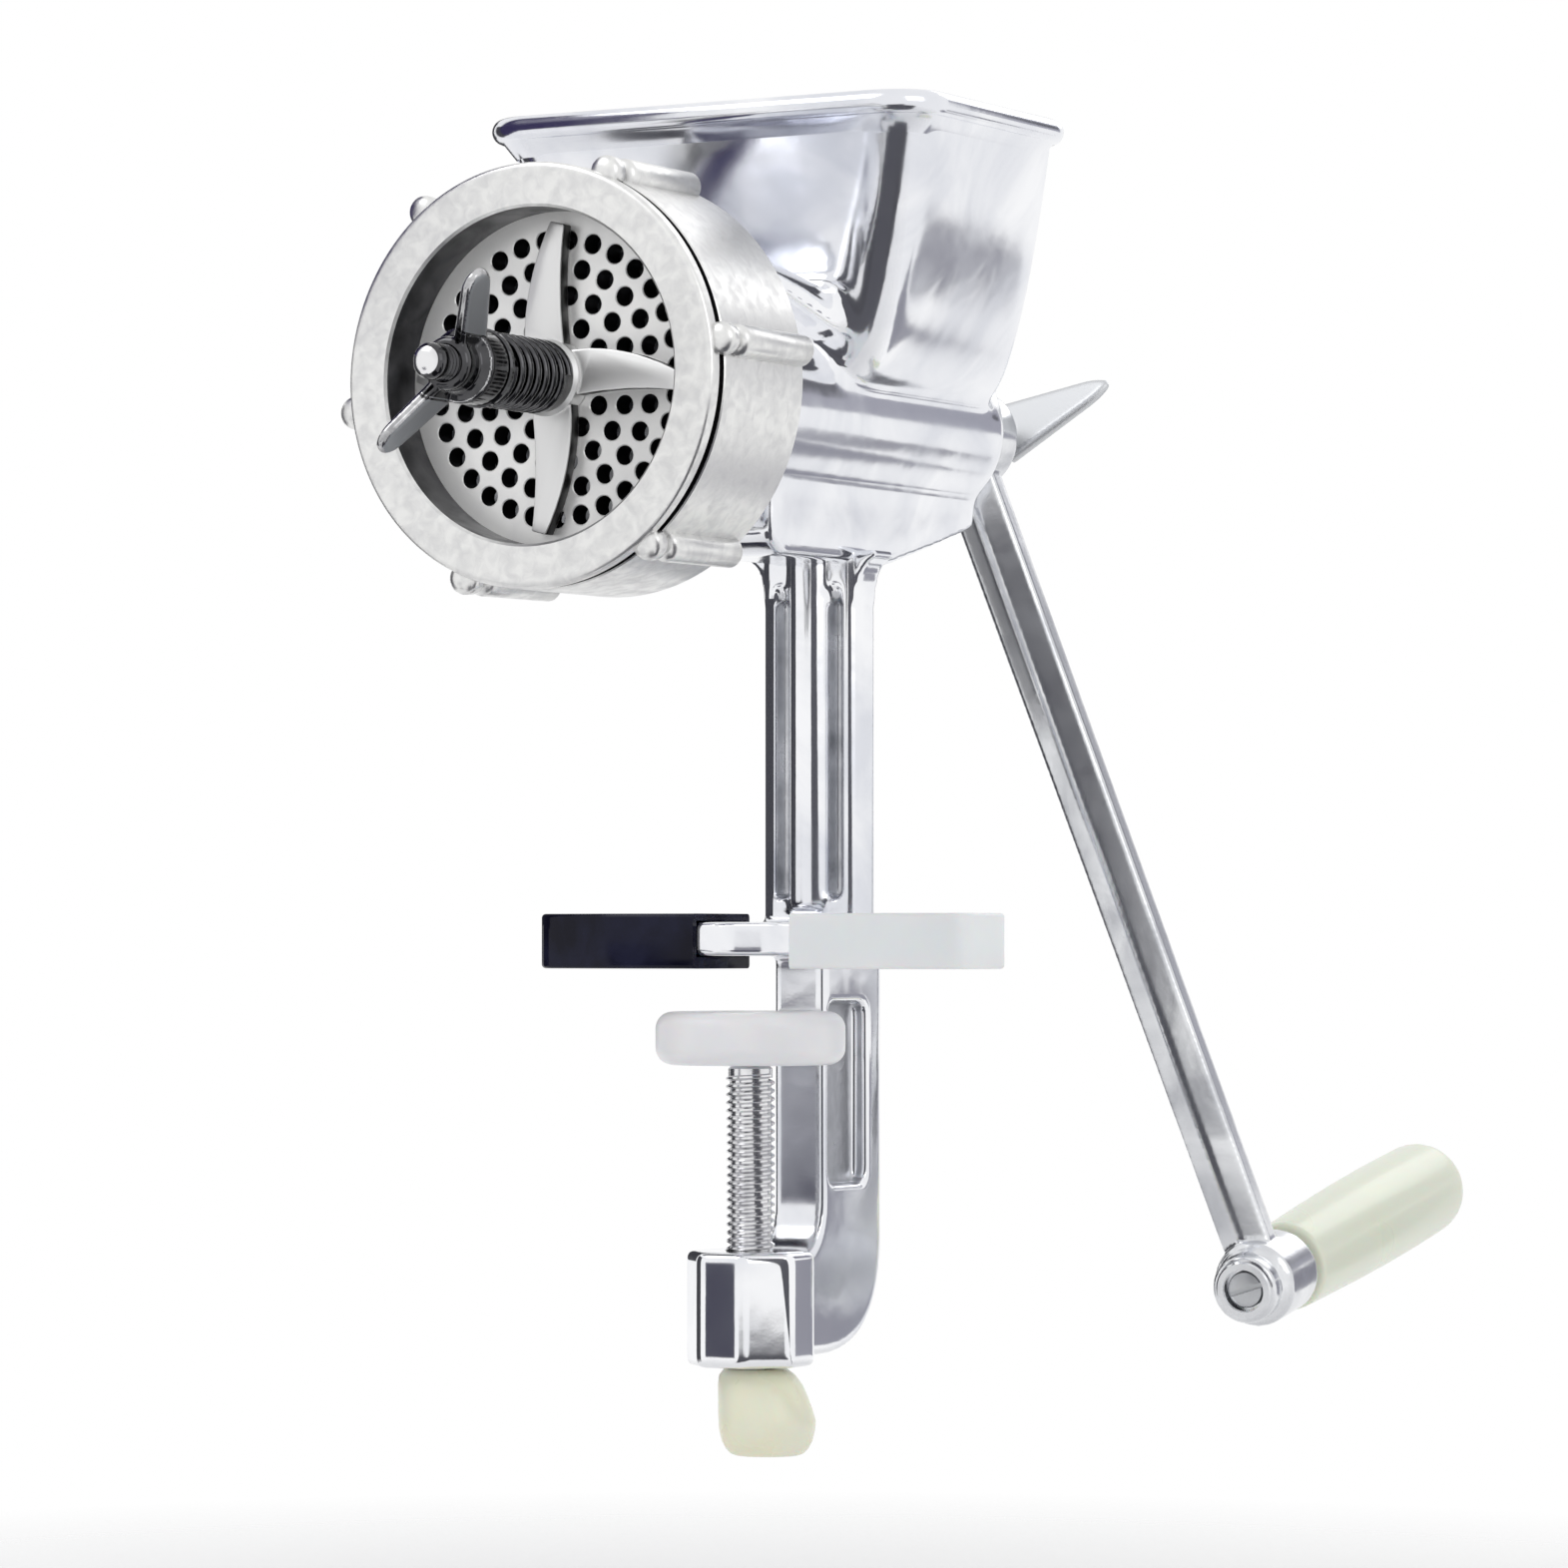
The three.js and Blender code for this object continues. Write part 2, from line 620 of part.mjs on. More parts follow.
/** Rounded-end pocket of the post's face, drawn in X and Z. */
function pocketOutline(x0, x1, low, high) {
  const radius = (x1 - x0) / 2;
  return roundedRectangle(x0, low, x1, high, radius * 0.98);
}

/** Post between the jaw and the keel: edge flanges, a web and a rounded middle rib. */
function post() {
  const half = POST_WIDTH / 2;
  const body = prismUp(
    roundedRectangle(-half, postFront, half, postRear, POST_CORNER), jawBottom, keelUnderside + OVERLAP, 3);
  const low = jawTop + POCKET_END_MARGIN;
  const high = keelUnderside - POCKET_END_MARGIN;
  const pockets = [];
  for (const side of [-1, 1]) {
    const outer = side * (half - FLANGE_WIDTH);
    const inner = outer - side * POCKET_WIDTH;
    const outline = pocketOutline(Math.min(inner, outer), Math.max(inner, outer), low, high);
    pockets.push(prismAlong(outline, postFront - OVERCUT, postFront + POCKET_DEPTH, 5));
    pockets.push(prismAlong(outline, postRear - POCKET_DEPTH, postRear + OVERCUT, 5));
  }
  const bead = placed(
    upright(RIB_BEAD_RADIUS, low - RIB_BEAD_RADIUS / 2, keelUnderside + OVERLAP, COARSE),
    shift(0, postFront + RIB_BEAD_RADIUS / 2, 0));
  const flare = new THREE.Shape();
  const reach = half + POST_FLARE / 2;
  flare.moveTo(-reach, keelUnderside + OVERLAP);
  flare.quadraticCurveTo(-half, keelUnderside, -half, keelUnderside - POST_FLARE);
  flare.lineTo(half, keelUnderside - POST_FLARE);
  flare.quadraticCurveTo(half, keelUnderside, reach, keelUnderside + OVERLAP);
  flare.lineTo(-reach, keelUnderside + OVERLAP);
  const head = prismAlong(flare, postFront + POST_CORNER / 2, postRear - POST_CORNER / 2, 6);
  return join(cut(body, ...pockets), bead, head);
}

/** Plan outline of one side of the upper jaw, grown outwards by grow. */
function jawOutline(grow) {
  const tip = JAW_SPAN / 2 + grow;
  const front = -JAW_FRONT - grow;
  const corner = front - JAW_CORNER_REACH;
  const rear = JAW_REAR + grow;
  const radius = JAW_TIP_RADIUS + grow;
  const shape = new THREE.Shape();
  shape.moveTo(-OVERLAP, front);
  shape.lineTo(0, front);
  shape.quadraticCurveTo(JAW_CORNER_AT / 2, corner, JAW_CORNER_AT, corner);
  shape.lineTo(tip - radius, front);
  shape.quadraticCurveTo(tip, front, tip, front + radius);
  shape.lineTo(tip, rear - radius);
  shape.absarc(tip - radius, rear - radius, radius, 0, Math.PI / 2, false);
  shape.lineTo(-OVERLAP, rear);
  return shape;
}

/** Metal of the upper jaw: two arms and the neck that ties them to the post. */
function jaw() {
  const half = prismUp(jawOutline(0), jawBottom, jawTop, 6);
  const other = half.mirror([1, 0, 0]);
  const neck = block([-POST_WIDTH / 2, JAW_REAR - OVERLAP, jawBottom], [POST_WIDTH / 2, postRear, jawTop]);
  return join(half, other, neck);
}

/** C-arm from the jaw down and forward to the boss, with a scooped recess in each side. */
function cArm() {
  const sole = bossBottom + BOSS_BEVEL;
  const heelRadius = armRear - armFront;
  const throatRadius = armFront / 2.2;
  const outline = new THREE.Shape();
  outline.moveTo(armFront, jawTop);
  outline.lineTo(armFront, bossTop + throatRadius * 1.1);
  outline.quadraticCurveTo(armFront, bossTop, armFront - throatRadius, bossTop - BOSS_BEVEL * 2);
  outline.lineTo(0, bossTop - BOSS_BEVEL * 3);
  outline.lineTo(0, sole);
  outline.lineTo(armRear - heelRadius, sole);
  outline.quadraticCurveTo(armRear, sole, armRear, sole + heelRadius);
  outline.lineTo(armRear, jawBottom);
  outline.lineTo(postRear, jawTop);
  const body = prismAcross(outline, ARM_WIDTH, 0, 10);
  const scoop = roundedRectangle(
    armFront + ARM_FRONT_FLANGE, bossTop + throatRadius * 1.4, armRear - ARM_REAR_FLANGE,
    -ARM_REAR_FLANGE, ARM_FRONT_FLANGE);
  const tools = [1, -1].map((side) => prismAcross(
    scoop, ARM_SCOOP_DEPTH + OVERCUT, side * (ARM_WIDTH / 2 - ARM_SCOOP_DEPTH / 2 + OVERCUT / 2), 4));
  return cut(body, ...tools);
}

/** Eight-sided threaded boss at the end of the C-arm. */
function boss() {
  const radius = BOSS_ACROSS_FLATS / 2 / Math.cos(Math.PI / 8);
  const outline = turnedUpright([
    [0, bossBottom],
    [radius - BOSS_BEVEL, bossBottom],
    [radius, bossBottom + BOSS_BEVEL],
    [radius, bossTop - BOSS_BEVEL],
    [radius - BOSS_BEVEL, bossTop],
    [0, bossTop],
  ], 8);
  return placed(outline, new THREE.Matrix4().makeRotationZ(Math.PI / 8));
}

/** The whole aluminium casting as one solid. */
function casting() {
  const lift = shift(0, 0, AXIS_HEIGHT);
  const outside = join(
    placed(barrelOutside(), lift), shoulder(), hopperOutside(), keel(), post(), jaw(), cArm(), boss());
  const screwHole = upright(SCREW_RADIUS + CLEARANCE, bossBottom - OVERCUT, bossTop + OVERCUT);
  const keyHole = placed(
    rod(KEY_RADIUS + CLEARANCE, mouthFace - OVERCUT, mouthFace + KEY_LENGTH / 2 + CLEARANCE, COARSE),
    shift(0, 0, AXIS_HEIGHT + keyOffset));
  return cut(outside, placed(barrelInside(), lift), hopperInside(), screwHole, keyHole);
}

// ---------------------------------------------------------------------------------------------
// Ring nut, die plate and cutter group (about the barrel axis)
// ---------------------------------------------------------------------------------------------
const keyOffset = RING_OPENING / 2 + KEY_RADIUS + 2 * CLEARANCE;

/** Ring nut with its lip, front bevel, groove and side ribs. */
function ringNut() {
  const opening = RING_OPENING / 2;
  const grooveFrom = ringFace + RING_GROOVE_SETBACK;
  const shell = turned([
    [opening, ringFace],
    [ringRadius - RING_BEVEL, ringFace],
    [ringRadius, ringFace + RING_BEVEL],
    [ringRadius, grooveFrom],
    [ringRadius - RING_GROOVE_DEPTH, grooveFrom],
    [ringRadius - RING_GROOVE_DEPTH, grooveFrom + RING_GROOVE_WIDTH],
    [ringRadius, grooveFrom + RING_GROOVE_WIDTH],
    [ringRadius, ringBack],
    [ringBore, ringBack],
    [ringBore, ringFace + RING_LIP],
    [opening, ringFace + RING_LIP],
  ], FINE);
  const centre = ringRadius + RIB_STANDOFF;
  const nubFrom = ringFace + NUB_SETBACK;
  const ribFrom = nubFrom + NUB_LENGTH + NUB_NOTCH;
  const solids = [];
  for (let i = 0; i < RIB_COUNT; i += 1) {
    const angle = RIB_FIRST_ANGLE + (360 * i) / RIB_COUNT;
    for (const [from, to] of [[nubFrom, nubFrom + NUB_LENGTH], [ribFrom, ringBack]]) {
      const dome = RIB_RADIUS * RIB_DOME;
      const bar = turned([
        [0, from],
        [RIB_RADIUS * RIB_END, from],
        [RIB_RADIUS, from + dome],
        [RIB_RADIUS, to - dome],
        [RIB_RADIUS * RIB_END, to],
        [0, to],
      ], RIB_SIDES);
      solids.push(placed(bar, aboutY(angle).multiply(shift(0, 0, centre))));
    }
  }
  const bore = rod(ringBore, ringFace + RING_LIP, ringBack + OVERCUT, FINE);
  const mouth = rod(opening, ringFace - OVERCUT, ringFace + RING_LIP + OVERLAP, FINE);
  return cut(join(shell, ...solids), bore, mouth);
}

/** Centres of the die plate's holes, ring by ring. */
function holeCentres() {
  const centres = [];
  const last = RING_OPENING / 2 - HOLE_DIAMETER / 2 - HOLE_MARGIN;
  const rings = Math.floor((last - HOLE_FIRST_RING) / HOLE_RING_PITCH) + 1;
  for (let row = 0; row < rings; row += 1) {
    const radius = HOLE_FIRST_RING + ((last - HOLE_FIRST_RING) * row) / Math.max(1, rings - 1);
    const count = Math.floor((2 * Math.PI * radius) / HOLE_PITCH);
    for (let i = 0; i < count; i += 1) {
      const angle = (2 * Math.PI * (i + (row % 2) / 2)) / count;
      centres.push([radius * Math.sin(angle), radius * Math.cos(angle)]);
    }
  }
  return centres;
}

/** Die plate with its holes, the bore for its bush and the notch for its key. */
function diePlate() {
  const outline = new THREE.Shape();
  outline.absarc(0, 0, PLATE_DIAMETER / 2, 0, 2 * Math.PI, false);
  const hub = new THREE.Path();
  hub.absarc(0, 0, PLATE_HUB_RADIUS, 0, 2 * Math.PI, true);
  outline.holes.push(hub);
  for (const [x, z] of holeCentres()) {
    const points = [];
    for (let i = 0; i < HOLE_SIDES; i += 1) {
      const angle = (-2 * Math.PI * i) / HOLE_SIDES;
      points.push(new THREE.Vector2(
        x + (HOLE_DIAMETER / 2) * Math.cos(angle), z + (HOLE_DIAMETER / 2) * Math.sin(angle)));
    }
    outline.holes.push(new THREE.Path(points));
  }
  const body = prismAlong(outline, plateFront, plateBack, COARSE);
  const half = KEY_RADIUS + CLEARANCE;
  const notch = placed(rod(half, plateFront - OVERCUT, plateBack + OVERCUT, COARSE), shift(0, 0, keyOffset));
  const way = block(
    [-half, plateFront - OVERCUT, keyOffset], [half, plateBack + OVERCUT, PLATE_DIAMETER / 2 + OVERCUT]);
  return cut(body, notch, way);
}

/** Bush pressed in the plate's middle, in which the front stud turns. */
function plateBush() {
  return ring(PLATE_HUB_RADIUS - CLEARANCE, STUD_RADIUS + CLEARANCE, plateFront, plateBack, COARSE);
}

/** Key pin that keeps the plate from turning in the mouth. */
function plateKey() {
  const from = plateFront + CLEARANCE;
  return placed(rod(KEY_RADIUS, from, mouthFace + KEY_LENGTH / 2, COARSE), shift(0, 0, keyOffset));
}

const cutterBack = plateFront - CLEARANCE;
const cutterFront = cutterBack - CUTTER_HUB_LENGTH;
const springBack = cutterFront - CLEARANCE;
const springFront = springBack - SPRING_LENGTH;
const nutWasherFront = springFront - CLEARANCE - WASHER_THICKNESS;
const nutBack = nutWasherFront - CLEARANCE;
const nutFront = nutBack - NUT_COLLAR_LENGTH - NUT_NECK_LENGTH;
const flatsFrom = cutterFront - SPRING_LENGTH / 2;

/** Round rod with two flats between two stations. */
function flattedRod(radius, flats, from, to) {
  const round = rod(radius, from, to, COARSE);
  const slab = block(
    [-flats / 2, from - OVERCUT, -radius - OVERCUT],
    [flats / 2, to + OVERCUT, radius + OVERCUT]);
  return round.intersect(slab);
}

/** Four swept blades on a hub, working against the plate's outer face. */
function cutter() {
  const outline = new THREE.Shape();
  const rootHalf = BLADE_ROOT_WIDTH / 2;
  const tipHalf = BLADE_TIP_WIDTH / 2;
  const middle = BLADE_RADIUS / 2;
  outline.moveTo(-rootHalf, 0);
  outline.quadraticCurveTo(-rootHalf - BLADE_BELLY, middle, BLADE_LEAN - tipHalf, BLADE_RADIUS);
  outline.lineTo(BLADE_LEAN + tipHalf, BLADE_RADIUS - tipHalf / 2);
  outline.quadraticCurveTo(rootHalf - BLADE_BELLY, middle, rootHalf, 0);
  const blade = prismAlong(outline, cutterBack - BLADE_THICKNESS, cutterBack, 8);
  const blades = [];
  for (let i = 0; i < BLADE_COUNT; i += 1) blades.push(placed(blade, aboutY((360 * i) / BLADE_COUNT)));
  const hub = rod(CUTTER_HUB_RADIUS, cutterFront, cutterBack, MEDIUM);
  const bore = flattedRod(
    STUD_RADIUS + CLEARANCE, STUD_FLATS + 2 * CLEARANCE, cutterFront - OVERCUT, cutterBack + OVERCUT);
  return cut(join(hub, ...blades), bore);
}

/** Coil spring as one wire swept along its turns. */
function cutterSpring() {
  const half = SPRING_WIRE / 2;
  const travel = SPRING_LENGTH - SPRING_WIRE;
  const rows = [];
  const steps = SPRING_TURNS * SPRING_STEPS;
  for (let i = 0; i <= steps; i += 1) {
    const share = i / steps;
    const angle = 2 * Math.PI * SPRING_TURNS * share;
    const y = springFront + half + travel * share;
    const row = [];
    for (let k = 0; k < WIRE_SIDES; k += 1) {
      const around = (2 * Math.PI * k) / WIRE_SIDES;
      const radius = SPRING_RADIUS + half * Math.cos(around);
      row.push(new THREE.Vector3(
        radius * Math.cos(angle), y + half * Math.sin(around), radius * Math.sin(angle)));
    }
    rows.push(row);
  }
  return loft(rows);
}

/** One flat wing that leaves a collar sideways, leans away from its seat and ends in a round tip. */
function wing(size) {
  const { reach, width, thickness, flare, root, tip, twist } = size;
  const inner = root * 0.6;
  const slope = Math.atan2(flare, reach - inner);
  const length = Math.hypot(flare, reach - inner);
  const rows = [];
  for (const share of [0, 0.45, 0.82, 0.95, 1]) {
    const taper = THREE.MathUtils.lerp(1, tip, share);
    const rounding = share > 0.9 ? 0.45 + 0.5 * (1 - share) * 10 : 1;
    const half = (width / 2) * taper * Math.min(1, rounding);
    const thick = (thickness / 2) * (1 - 0.25 * share);
    rows.push([
      new THREE.Vector3(length * share, -half, -thick),
      new THREE.Vector3(length * share, half, -thick),
      new THREE.Vector3(length * share, half, thick),
      new THREE.Vector3(length * share, -half, thick),
    ]);
  }
  const turn = new THREE.Matrix4().makeRotationZ(slope).multiply(new THREE.Matrix4().makeRotationX(rad(twist)));
  return placed(loft(rows), shift(inner, 0, 0).multiply(turn));
}

/** Wing nut: collar, neck, two leaning wings and the threaded hole. */
function wingNut() {
  const collarFront = nutBack - NUT_COLLAR_LENGTH;
  const body = turned([
    [0, nutFront],
    [NUT_NECK_RADIUS - TURNED_EDGE, nutFront],
    [NUT_NECK_RADIUS, nutFront + TURNED_EDGE],
    [NUT_NECK_RADIUS, collarFront],
    [NUT_COLLAR_RADIUS, collarFront + TURNED_EDGE],
    [NUT_COLLAR_RADIUS, nutBack],
    [0, nutBack],
  ], MEDIUM);
  const one = placed(wing({
    reach: WING_REACH,
    width: WING_WIDTH,
    thickness: WING_THICKNESS,
    flare: -WING_FLARE,
    root: NUT_NECK_RADIUS,
    tip: NUT_WING_TIP,
    twist: 0,
  }), shift(0, (nutFront + nutBack) / 2, 0));
  const bore = rod(STUD_RADIUS + CLEARANCE, nutFront - OVERCUT, nutBack + OVERCUT, COARSE);
  return cut(join(body, placed(one, aboutY(-WING_NUT_ANGLE)), placed(one, aboutY(180 - WING_NUT_ANGLE))), bore);
}

/** Flat washer between the spring and the wing nut. */
function nutWasher() {
  return ring(
    SEAT_WASHER_RADIUS, STUD_RADIUS + CLEARANCE, nutWasherFront, nutWasherFront + WASHER_THICKNESS, MEDIUM);
}

// ---------------------------------------------------------------------------------------------
// Auger group (about the barrel axis)
// ---------------------------------------------------------------------------------------------

/** Radius of the barrel's space at a station, for the flight to follow. */
function chamberAt(y) {
  if (y <= ringBack) return mouthBore;
  if (y >= -SHOULDER_END) return chamberRadius;
  return THREE.MathUtils.mapLinear(y, ringBack, -SHOULDER_END, mouthBore, chamberRadius);
}

/** Radius of the auger's core at a station. */
function coreAt(y) {
  if (y <= ringBack) return AUGER_HEAD_CORE;
  if (y >= -SHOULDER_END) return AUGER_CORE_RADIUS;
  return THREE.MathUtils.mapLinear(y, ringBack, -SHOULDER_END, AUGER_HEAD_CORE, AUGER_CORE_RADIUS);
}

/** Auger: tapered core, one helical flight, rear journal and drive square. */
function auger() {
  const flightBack = bearingInner - THRUST_WASHER_THICKNESS - 4 * CLEARANCE - FLIGHT_THICKNESS;
  const collar = bearingInner - THRUST_WASHER_THICKNESS - 2 * CLEARANCE;
  const core = turned([
    [0, augerFront],
    [AUGER_HEAD_CORE, augerFront],
    [AUGER_HEAD_CORE, ringBack],
    [AUGER_CORE_RADIUS, -SHOULDER_END],
    [AUGER_CORE_RADIUS, collar - AUGER_CORE_RADIUS],
    [bushRadius, collar - AUGER_CORE_RADIUS / 2],
    [bushRadius, collar],
    [JOURNAL_RADIUS, collar],
    [JOURNAL_RADIUS, BEARING_REACH + HUB_GAP / 2],
    [0, BEARING_REACH + HUB_GAP / 2],
  ], MEDIUM);
  const start = augerFront + FLIGHT_THICKNESS;
  const turns = (flightBack - start) / FLIGHT_PITCH;
  const steps = Math.ceil(turns * FLIGHT_STEPS);
  const rows = [];
  for (let i = 0; i <= steps; i += 1) {
    const share = i / steps;
    const y = THREE.MathUtils.lerp(start, flightBack, share);
    const angle = 2 * Math.PI * turns * share;
    const outer = chamberAt(Math.min(y + FLIGHT_THICKNESS, flightBack)) - FLIGHT_CLEARANCE;
    const inner = coreAt(y) * FLIGHT_ROOT;
    const corner = (radius, offset) => new THREE.Vector3(
      radius * Math.cos(angle), y + offset, radius * Math.sin(angle));
    rows.push([
      corner(inner, -FLIGHT_THICKNESS / 2),
      corner(outer, -FLIGHT_THICKNESS / 3),
      corner(outer, FLIGHT_THICKNESS / 3),
      corner(inner, FLIGHT_THICKNESS / 2),
    ]);
  }
  const half = DRIVE_SQUARE / 2;
  const square = block([-half, BEARING_REACH - OVERCUT, -half], [half, hubBack - 3 * CLEARANCE, half]);
  const rearHole = rod(
    WING_SCREW_RADIUS + CLEARANCE, hubBack - WING_SCREW_REACH - CLEARANCE * 4, hubBack + OVERCUT, COARSE);
  const frontHole = rod(STUD_RADIUS + CLEARANCE, augerFront - OVERCUT, augerFront + STUD_GRIP, COARSE);
  return cut(join(core, loft(rows), square), rearHole, frontHole);
}

/** Front stud, screwed into the auger, that carries the cutter, spring and wing nut. */
function frontStud() {
  const end = augerFront + STUD_GRIP - CLEARANCE;
  const tip = turned([
    [0, studTip],
    [STUD_RADIUS - THREAD_EDGE, studTip],
    [STUD_RADIUS, studTip + THREAD_EDGE],
    [STUD_RADIUS, end],
    [0, end],
  ], COARSE);
  const reach = STUD_RADIUS + OVERCUT;
  const slots = [-1, 1].map((side) => block(
    [Math.min(side * STUD_FLATS / 2, side * reach), flatsFrom, -reach],
    [Math.max(side * STUD_FLATS / 2, side * reach), plateFront, reach]));
  return cut(tip, ...slots);
}

/** Bush in the rear bearing. */
function rearBush() {
  return ring(bushRadius, JOURNAL_RADIUS + CLEARANCE, bearingInner, BEARING_REACH, MEDIUM);
}

/** Thrust washer between the auger's collar and the rear bearing. */
function thrustWasher() {
  const back = bearingInner - CLEARANCE;
  return ring(
    chamberRadius - CLEARANCE, JOURNAL_RADIUS + CLEARANCE, back - THRUST_WASHER_THICKNESS, back, MEDIUM);
}

// ---------------------------------------------------------------------------------------------
// Crank group (local frame: pivot on the barrel axis, arm hangs down along -Z)
// ---------------------------------------------------------------------------------------------
const lean = Math.tan(rad(CRANK_LEAN));
const gripSeat = BOSS_DEPTH / 2;

/** Matrix from the grip boss's own frame, with its axis along +Y, to the crank's frame. */
function gripFrame() {
  const turn = new THREE.Matrix4().makeRotationX(rad(CRANK_LEAN));
  return shift(0, crankPivot + CRANK_DROP * lean, -CRANK_DROP).multiply(turn);
}

/** Level section of the crank arm, with a ridge down its front between two slopes. */
function armSection(width, middle, height) {
  const half = width / 2;
  const front = middle - CRANK_THICKNESS / 2;
  const rear = middle + CRANK_THICKNESS / 2;
  return [
    [CRANK_RIDGE, front],
    [half - CRANK_EDGE, front + CRANK_SLOPE_RIGHT - CRANK_EDGE / 2],
    [half, front + CRANK_SLOPE_RIGHT + CRANK_EDGE / 2],
    [half, rear - CRANK_CORNER],
    [half - CRANK_CORNER, rear],
    [CRANK_CORNER - half, rear],
    [-half, rear - CRANK_CORNER],
    [-half, front + CRANK_SLOPE_LEFT + CRANK_EDGE / 2],
    [CRANK_EDGE - half, front + CRANK_SLOPE_LEFT - CRANK_EDGE / 2],
  ].map(([x, y]) => new THREE.Vector3(x, y, height));
}

/** Crank arm with its hub, its square hole and the boss that carries the grip. */
function crankArm() {
  const hub = turned([
    [0, hubFront],
    [HUB_RADIUS - TURNED_EDGE, hubFront],
    [HUB_RADIUS, hubFront + TURNED_EDGE],
    [HUB_RADIUS, hubBack - TURNED_EDGE],
    [HUB_RADIUS - TURNED_EDGE, hubBack],
    [0, hubBack],
  ], MEDIUM);
  const rows = [];
  for (const share of [0, 0.5, 1]) {
    const width = THREE.MathUtils.lerp(CRANK_WIDTH_TOP, CRANK_WIDTH_END, share);
    const height = -CRANK_DROP * share;
    const middle = crankPivot + CRANK_DROP * lean * share;
    rows.push(armSection(width, middle, height));
  }
  const noseEnd = -gripSeat + BOSS_NOSE_LENGTH;
  const bossBody = turned([
    [0, -gripSeat],
    [BOSS_NOSE_RADIUS - CRANK_BOSS_EDGE / 2, -gripSeat],
    [BOSS_NOSE_RADIUS, -gripSeat + CRANK_BOSS_EDGE / 2],
    [BOSS_NOSE_RADIUS, noseEnd],
    [BOSS_RADIUS, noseEnd + CRANK_BOSS_EDGE],
    [BOSS_RADIUS, gripSeat - CRANK_BOSS_EDGE],
    [BOSS_RADIUS - CRANK_BOSS_EDGE, gripSeat],
    [0, gripSeat],
  ], MEDIUM);
  const recess = rod(RECESS_RADIUS, -gripSeat - OVERCUT, -gripSeat + RECESS_DEPTH, COARSE);
  const boltHole = rod(GRIP_BOLT_RADIUS + CLEARANCE, -gripSeat - OVERCUT, gripSeat + OVERCUT, COARSE);
  const frame = gripFrame();
  const half = DRIVE_SQUARE / 2 + CLEARANCE;
  const squareHole = block([-half, hubFront - OVERCUT, -half], [half, hubBack + OVERCUT, half]);
  return cut(
    join(hub, loft(rows), placed(bossBody, frame)), placed(recess, frame), placed(boltHole, frame), squareHole);
}

/** Bolt through the boss into the grip, with its head in the boss's recess. */
function gripBolt() {
  const headFront = -gripSeat + RECESS_DEPTH - CLEARANCE - GRIP_BOLT_HEAD;
  const head = rod(GRIP_BOLT_HEAD_RADIUS, headFront, headFront + GRIP_BOLT_HEAD, COARSE);
  const slot = block(
    [-GRIP_BOLT_HEAD_RADIUS - OVERCUT, headFront - OVERCUT, -BOLT_SLOT / 2],
    [GRIP_BOLT_HEAD_RADIUS + OVERCUT, headFront + GRIP_BOLT_HEAD / 2, BOLT_SLOT / 2]);
  const end = gripStart + GRIP_BOLT_REACH;
  const tail = rod(GRIP_BOLT_HEAD_RADIUS, end - GRIP_BOLT_HEAD, end, COARSE);
  return cut(join(head, rod(GRIP_BOLT_RADIUS, headFront, end, COARSE), tail), slot);
}

const washerStart = gripSeat + CLEARANCE;
const gripStart = washerStart + GRIP_WASHER_THICKNESS + CLEARANCE;

/** Washer between the boss and the grip. */
function gripWasher() {
  return ring(
    GRIP_WASHER_RADIUS, GRIP_BOLT_RADIUS + CLEARANCE, washerStart, washerStart + GRIP_WASHER_THICKNESS, COARSE);
}

/** Turning grip: slightly swollen, with a domed end and a bore for the bolt. */
function grip() {
  const end = gripStart + GRIP_LENGTH;
  const bore = GRIP_BOLT_RADIUS + CLEARANCE;
  const pocket = GRIP_BOLT_HEAD_RADIUS + CLEARANCE;
  const pocketFrom = gripStart + GRIP_BOLT_REACH - GRIP_BOLT_HEAD - CLEARANCE;
  const profile = [
    [bore, gripStart],
    [GRIP_RADIUS - TURNED_EDGE, gripStart],
    [GRIP_RADIUS, gripStart + TURNED_EDGE],
  ];
  const domeStart = end - GRIP_RADIUS * GRIP_DOME;
  const swollen = (share) => GRIP_RADIUS + GRIP_BULGE * Math.sin(Math.PI * share * GRIP_WAVE);
  for (const share of [0.3, 0.6, 0.85]) {
    profile.push([swollen(share), THREE.MathUtils.lerp(gripStart, domeStart, share)]);
  }
  const widest = swollen(1);
  for (let i = 0; i <= 5; i += 1) {
    const angle = (Math.PI / 2) * (i / 6);
    profile.push([
      pocket + (widest - pocket) * Math.cos(angle), domeStart + (end - domeStart) * Math.sin(angle)]);
  }
  profile.push([pocket, end], [pocket, pocketFrom], [bore, pocketFrom]);
  return turned(profile, MEDIUM);
}

/** End cap that closes the grip's pocket. */
function gripCap() {
  const end = gripStart + GRIP_LENGTH;
  const radius = GRIP_BOLT_HEAD_RADIUS;
  return turned([
    [0, end - GRIP_BOLT_HEAD * 2],
    [radius, end - GRIP_BOLT_HEAD * 2],
    [radius, end],
    [radius * GRIP_CAP_FLAT, end + GRIP_CAP_CROWN],
    [0, end + GRIP_CAP_CROWN],
  ], COARSE);
}

const crankWasherFront = hubBack + CLEARANCE;
const screwSeat = crankWasherFront + WASHER_THICKNESS + CLEARANCE;

/** Washer under the wing screw. */
function crankWasher() {
  return ring(
    CRANK_WASHER_RADIUS, WING_SCREW_RADIUS + CLEARANCE, crankWasherFront, crankWasherFront + WASHER_THICKNESS);
}

